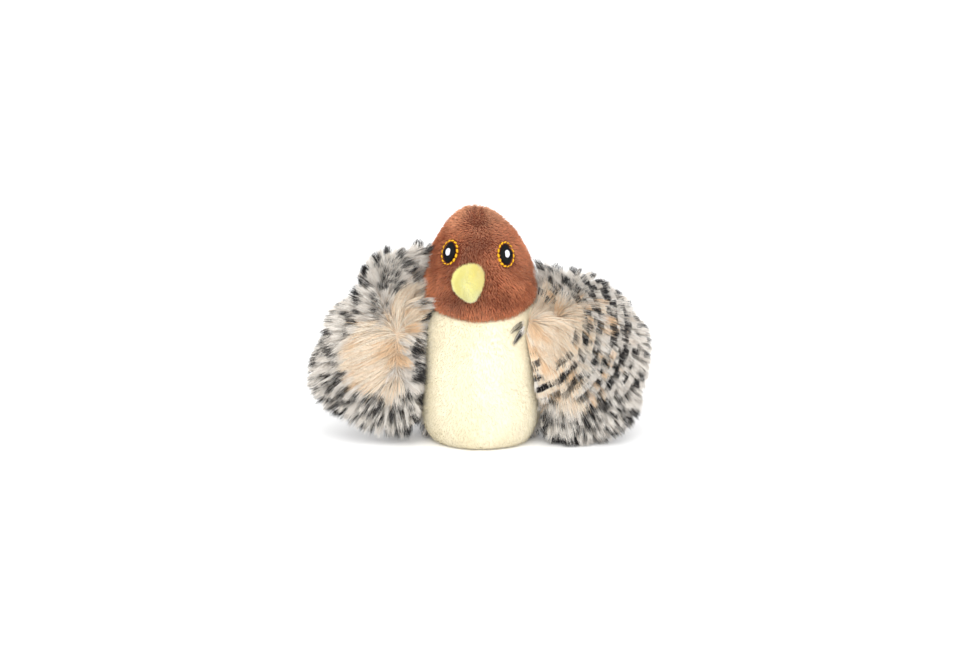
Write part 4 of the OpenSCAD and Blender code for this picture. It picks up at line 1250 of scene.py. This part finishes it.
def soft_sun(name, towards, strength, spread):
    """A wide soft light that shines in this direction, like a large softbox far away."""
    lamp = bpy.data.lights.new(name, "SUN")
    lamp.energy, lamp.angle = strength, math.radians(spread)
    holder = bpy.data.objects.new(name, lamp)
    holder.rotation_euler = Vector(towards).to_track_quat("-Z", "Y").to_euler()
    bpy.context.scene.collection.objects.link(holder)


def set_stage():
    """A white floor, a white surround and two soft lights from above the camera."""
    scene = bpy.context.scene
    world = bpy.data.worlds.new("surround")
    world.use_nodes = True
    world.node_tree.nodes["Background"].inputs["Color"].default_value = (1, 1, 1, 1)
    world.node_tree.nodes["Background"].inputs["Strength"].default_value = 0.9
    scene.world = world
    reach = 5000
    floor = new_object("floor", [(-reach, -reach, 0), (reach, -reach, 0), (reach, reach, 0), (-reach, reach, 0)],
                       [(0, 1, 2, 3)], studio_floor())
    soft_sun("key", (0.2, 0.85, -0.8), 1.9, 50)
    soft_sun("fill", (-0.5, 0.8, -0.7), 0.92, 60)
    scene.view_settings.view_transform = "Standard"


def set_camera():
    """A long lens level with the bird, a little above it."""
    scene = bpy.context.scene
    lens = bpy.data.cameras.new("camera")
    lens.lens = 100
    lens.sensor_width = 36
    camera = bpy.data.objects.new("camera", lens)
    aim = Vector((3.7, 0, 47.6)) * MM
    rise = math.radians(12)
    camera.location = aim + Vector((0, -math.cos(rise), math.sin(rise))) * 1.116
    camera.rotation_euler = (aim - camera.location).to_track_quat("-Z", "Y").to_euler()
    scene.collection.objects.link(camera)
    scene.camera = camera


set_camera()
set_stage()
FINISHES = finish_set()
dress_cad_nodes(FINISHES)

belly, back = build_body(FINISHES)
belly_fibres = belly_pile(belly, FINISHES)
back_fibres = build_back_fur(back, FINISHES)
head = build_head(FINISHES)
head_fibres = head_pile(head, FINISHES)
beak, beak_fibres = build_beak(FINISHES)
thicken(belly, 0.8)
thicken(back, 0.8, 0)
thicken(head, 0.8, 0)

ride_all([belly, belly_fibres], "body", "cream_plush")
ride_all([back, back_fibres, stray_tufts(FINISHES)], "body", "spotted_fur")
ride_all([head, *head_fibres], "body", "brown_plush")
ride_all([beak, beak_fibres], "body", "yellow_plush")
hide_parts("belly_panel", "body_stuffing")
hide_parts("back_panel")
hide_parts("head_cover", "head_stuffing")
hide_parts("beak_cover", "beak_stuffing")

for eye_name, eye_place in EYES.items():
    pupil, shine, ring = build_eye(eye_name, eye_place, FINISHES)
    ride_all([pupil], "body", "black_thread")
    ride_all([shine], "body", "white_thread")
    ride_all([ring], "body", "gold_thread")
    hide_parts("eye_pupils")
    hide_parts("eye_highlights")
    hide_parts("eye_rings")

for wing_side in ("left", "right"):
    wing_pad, wing_fibres = build_wing(wing_side, FINISHES)
    ride_all([wing_pad, *wing_fibres], f"{wing_side}_wing", "spotted_fur")
    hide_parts(f"{wing_side}_wing_front", f"{wing_side}_wing_back", f"{wing_side}_wing_wadding")
    for piece in sum(build_bridges(wing_side, FINISHES), []):
        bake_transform(piece)

base_cloth, base_hem = build_base(FINISHES)
ride_all([base_cloth, base_hem], "body", "cream_plush")
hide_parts("base_panel")
flap_cloth, flap_hem, tape_pieces = build_flap(FINISHES)
ride_all([flap_cloth, flap_hem], "closure_flap", "cream_plush")
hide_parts("closure_flap")
for tape_node, tape_slab, nap in tape_pieces:
    ride_all([tape_slab, nap], "closure_flap" if tape_node == "hook_strip" else "body",
             "hook_tape" if tape_node == "hook_strip" else "loop_tape")
    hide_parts(tape_node)
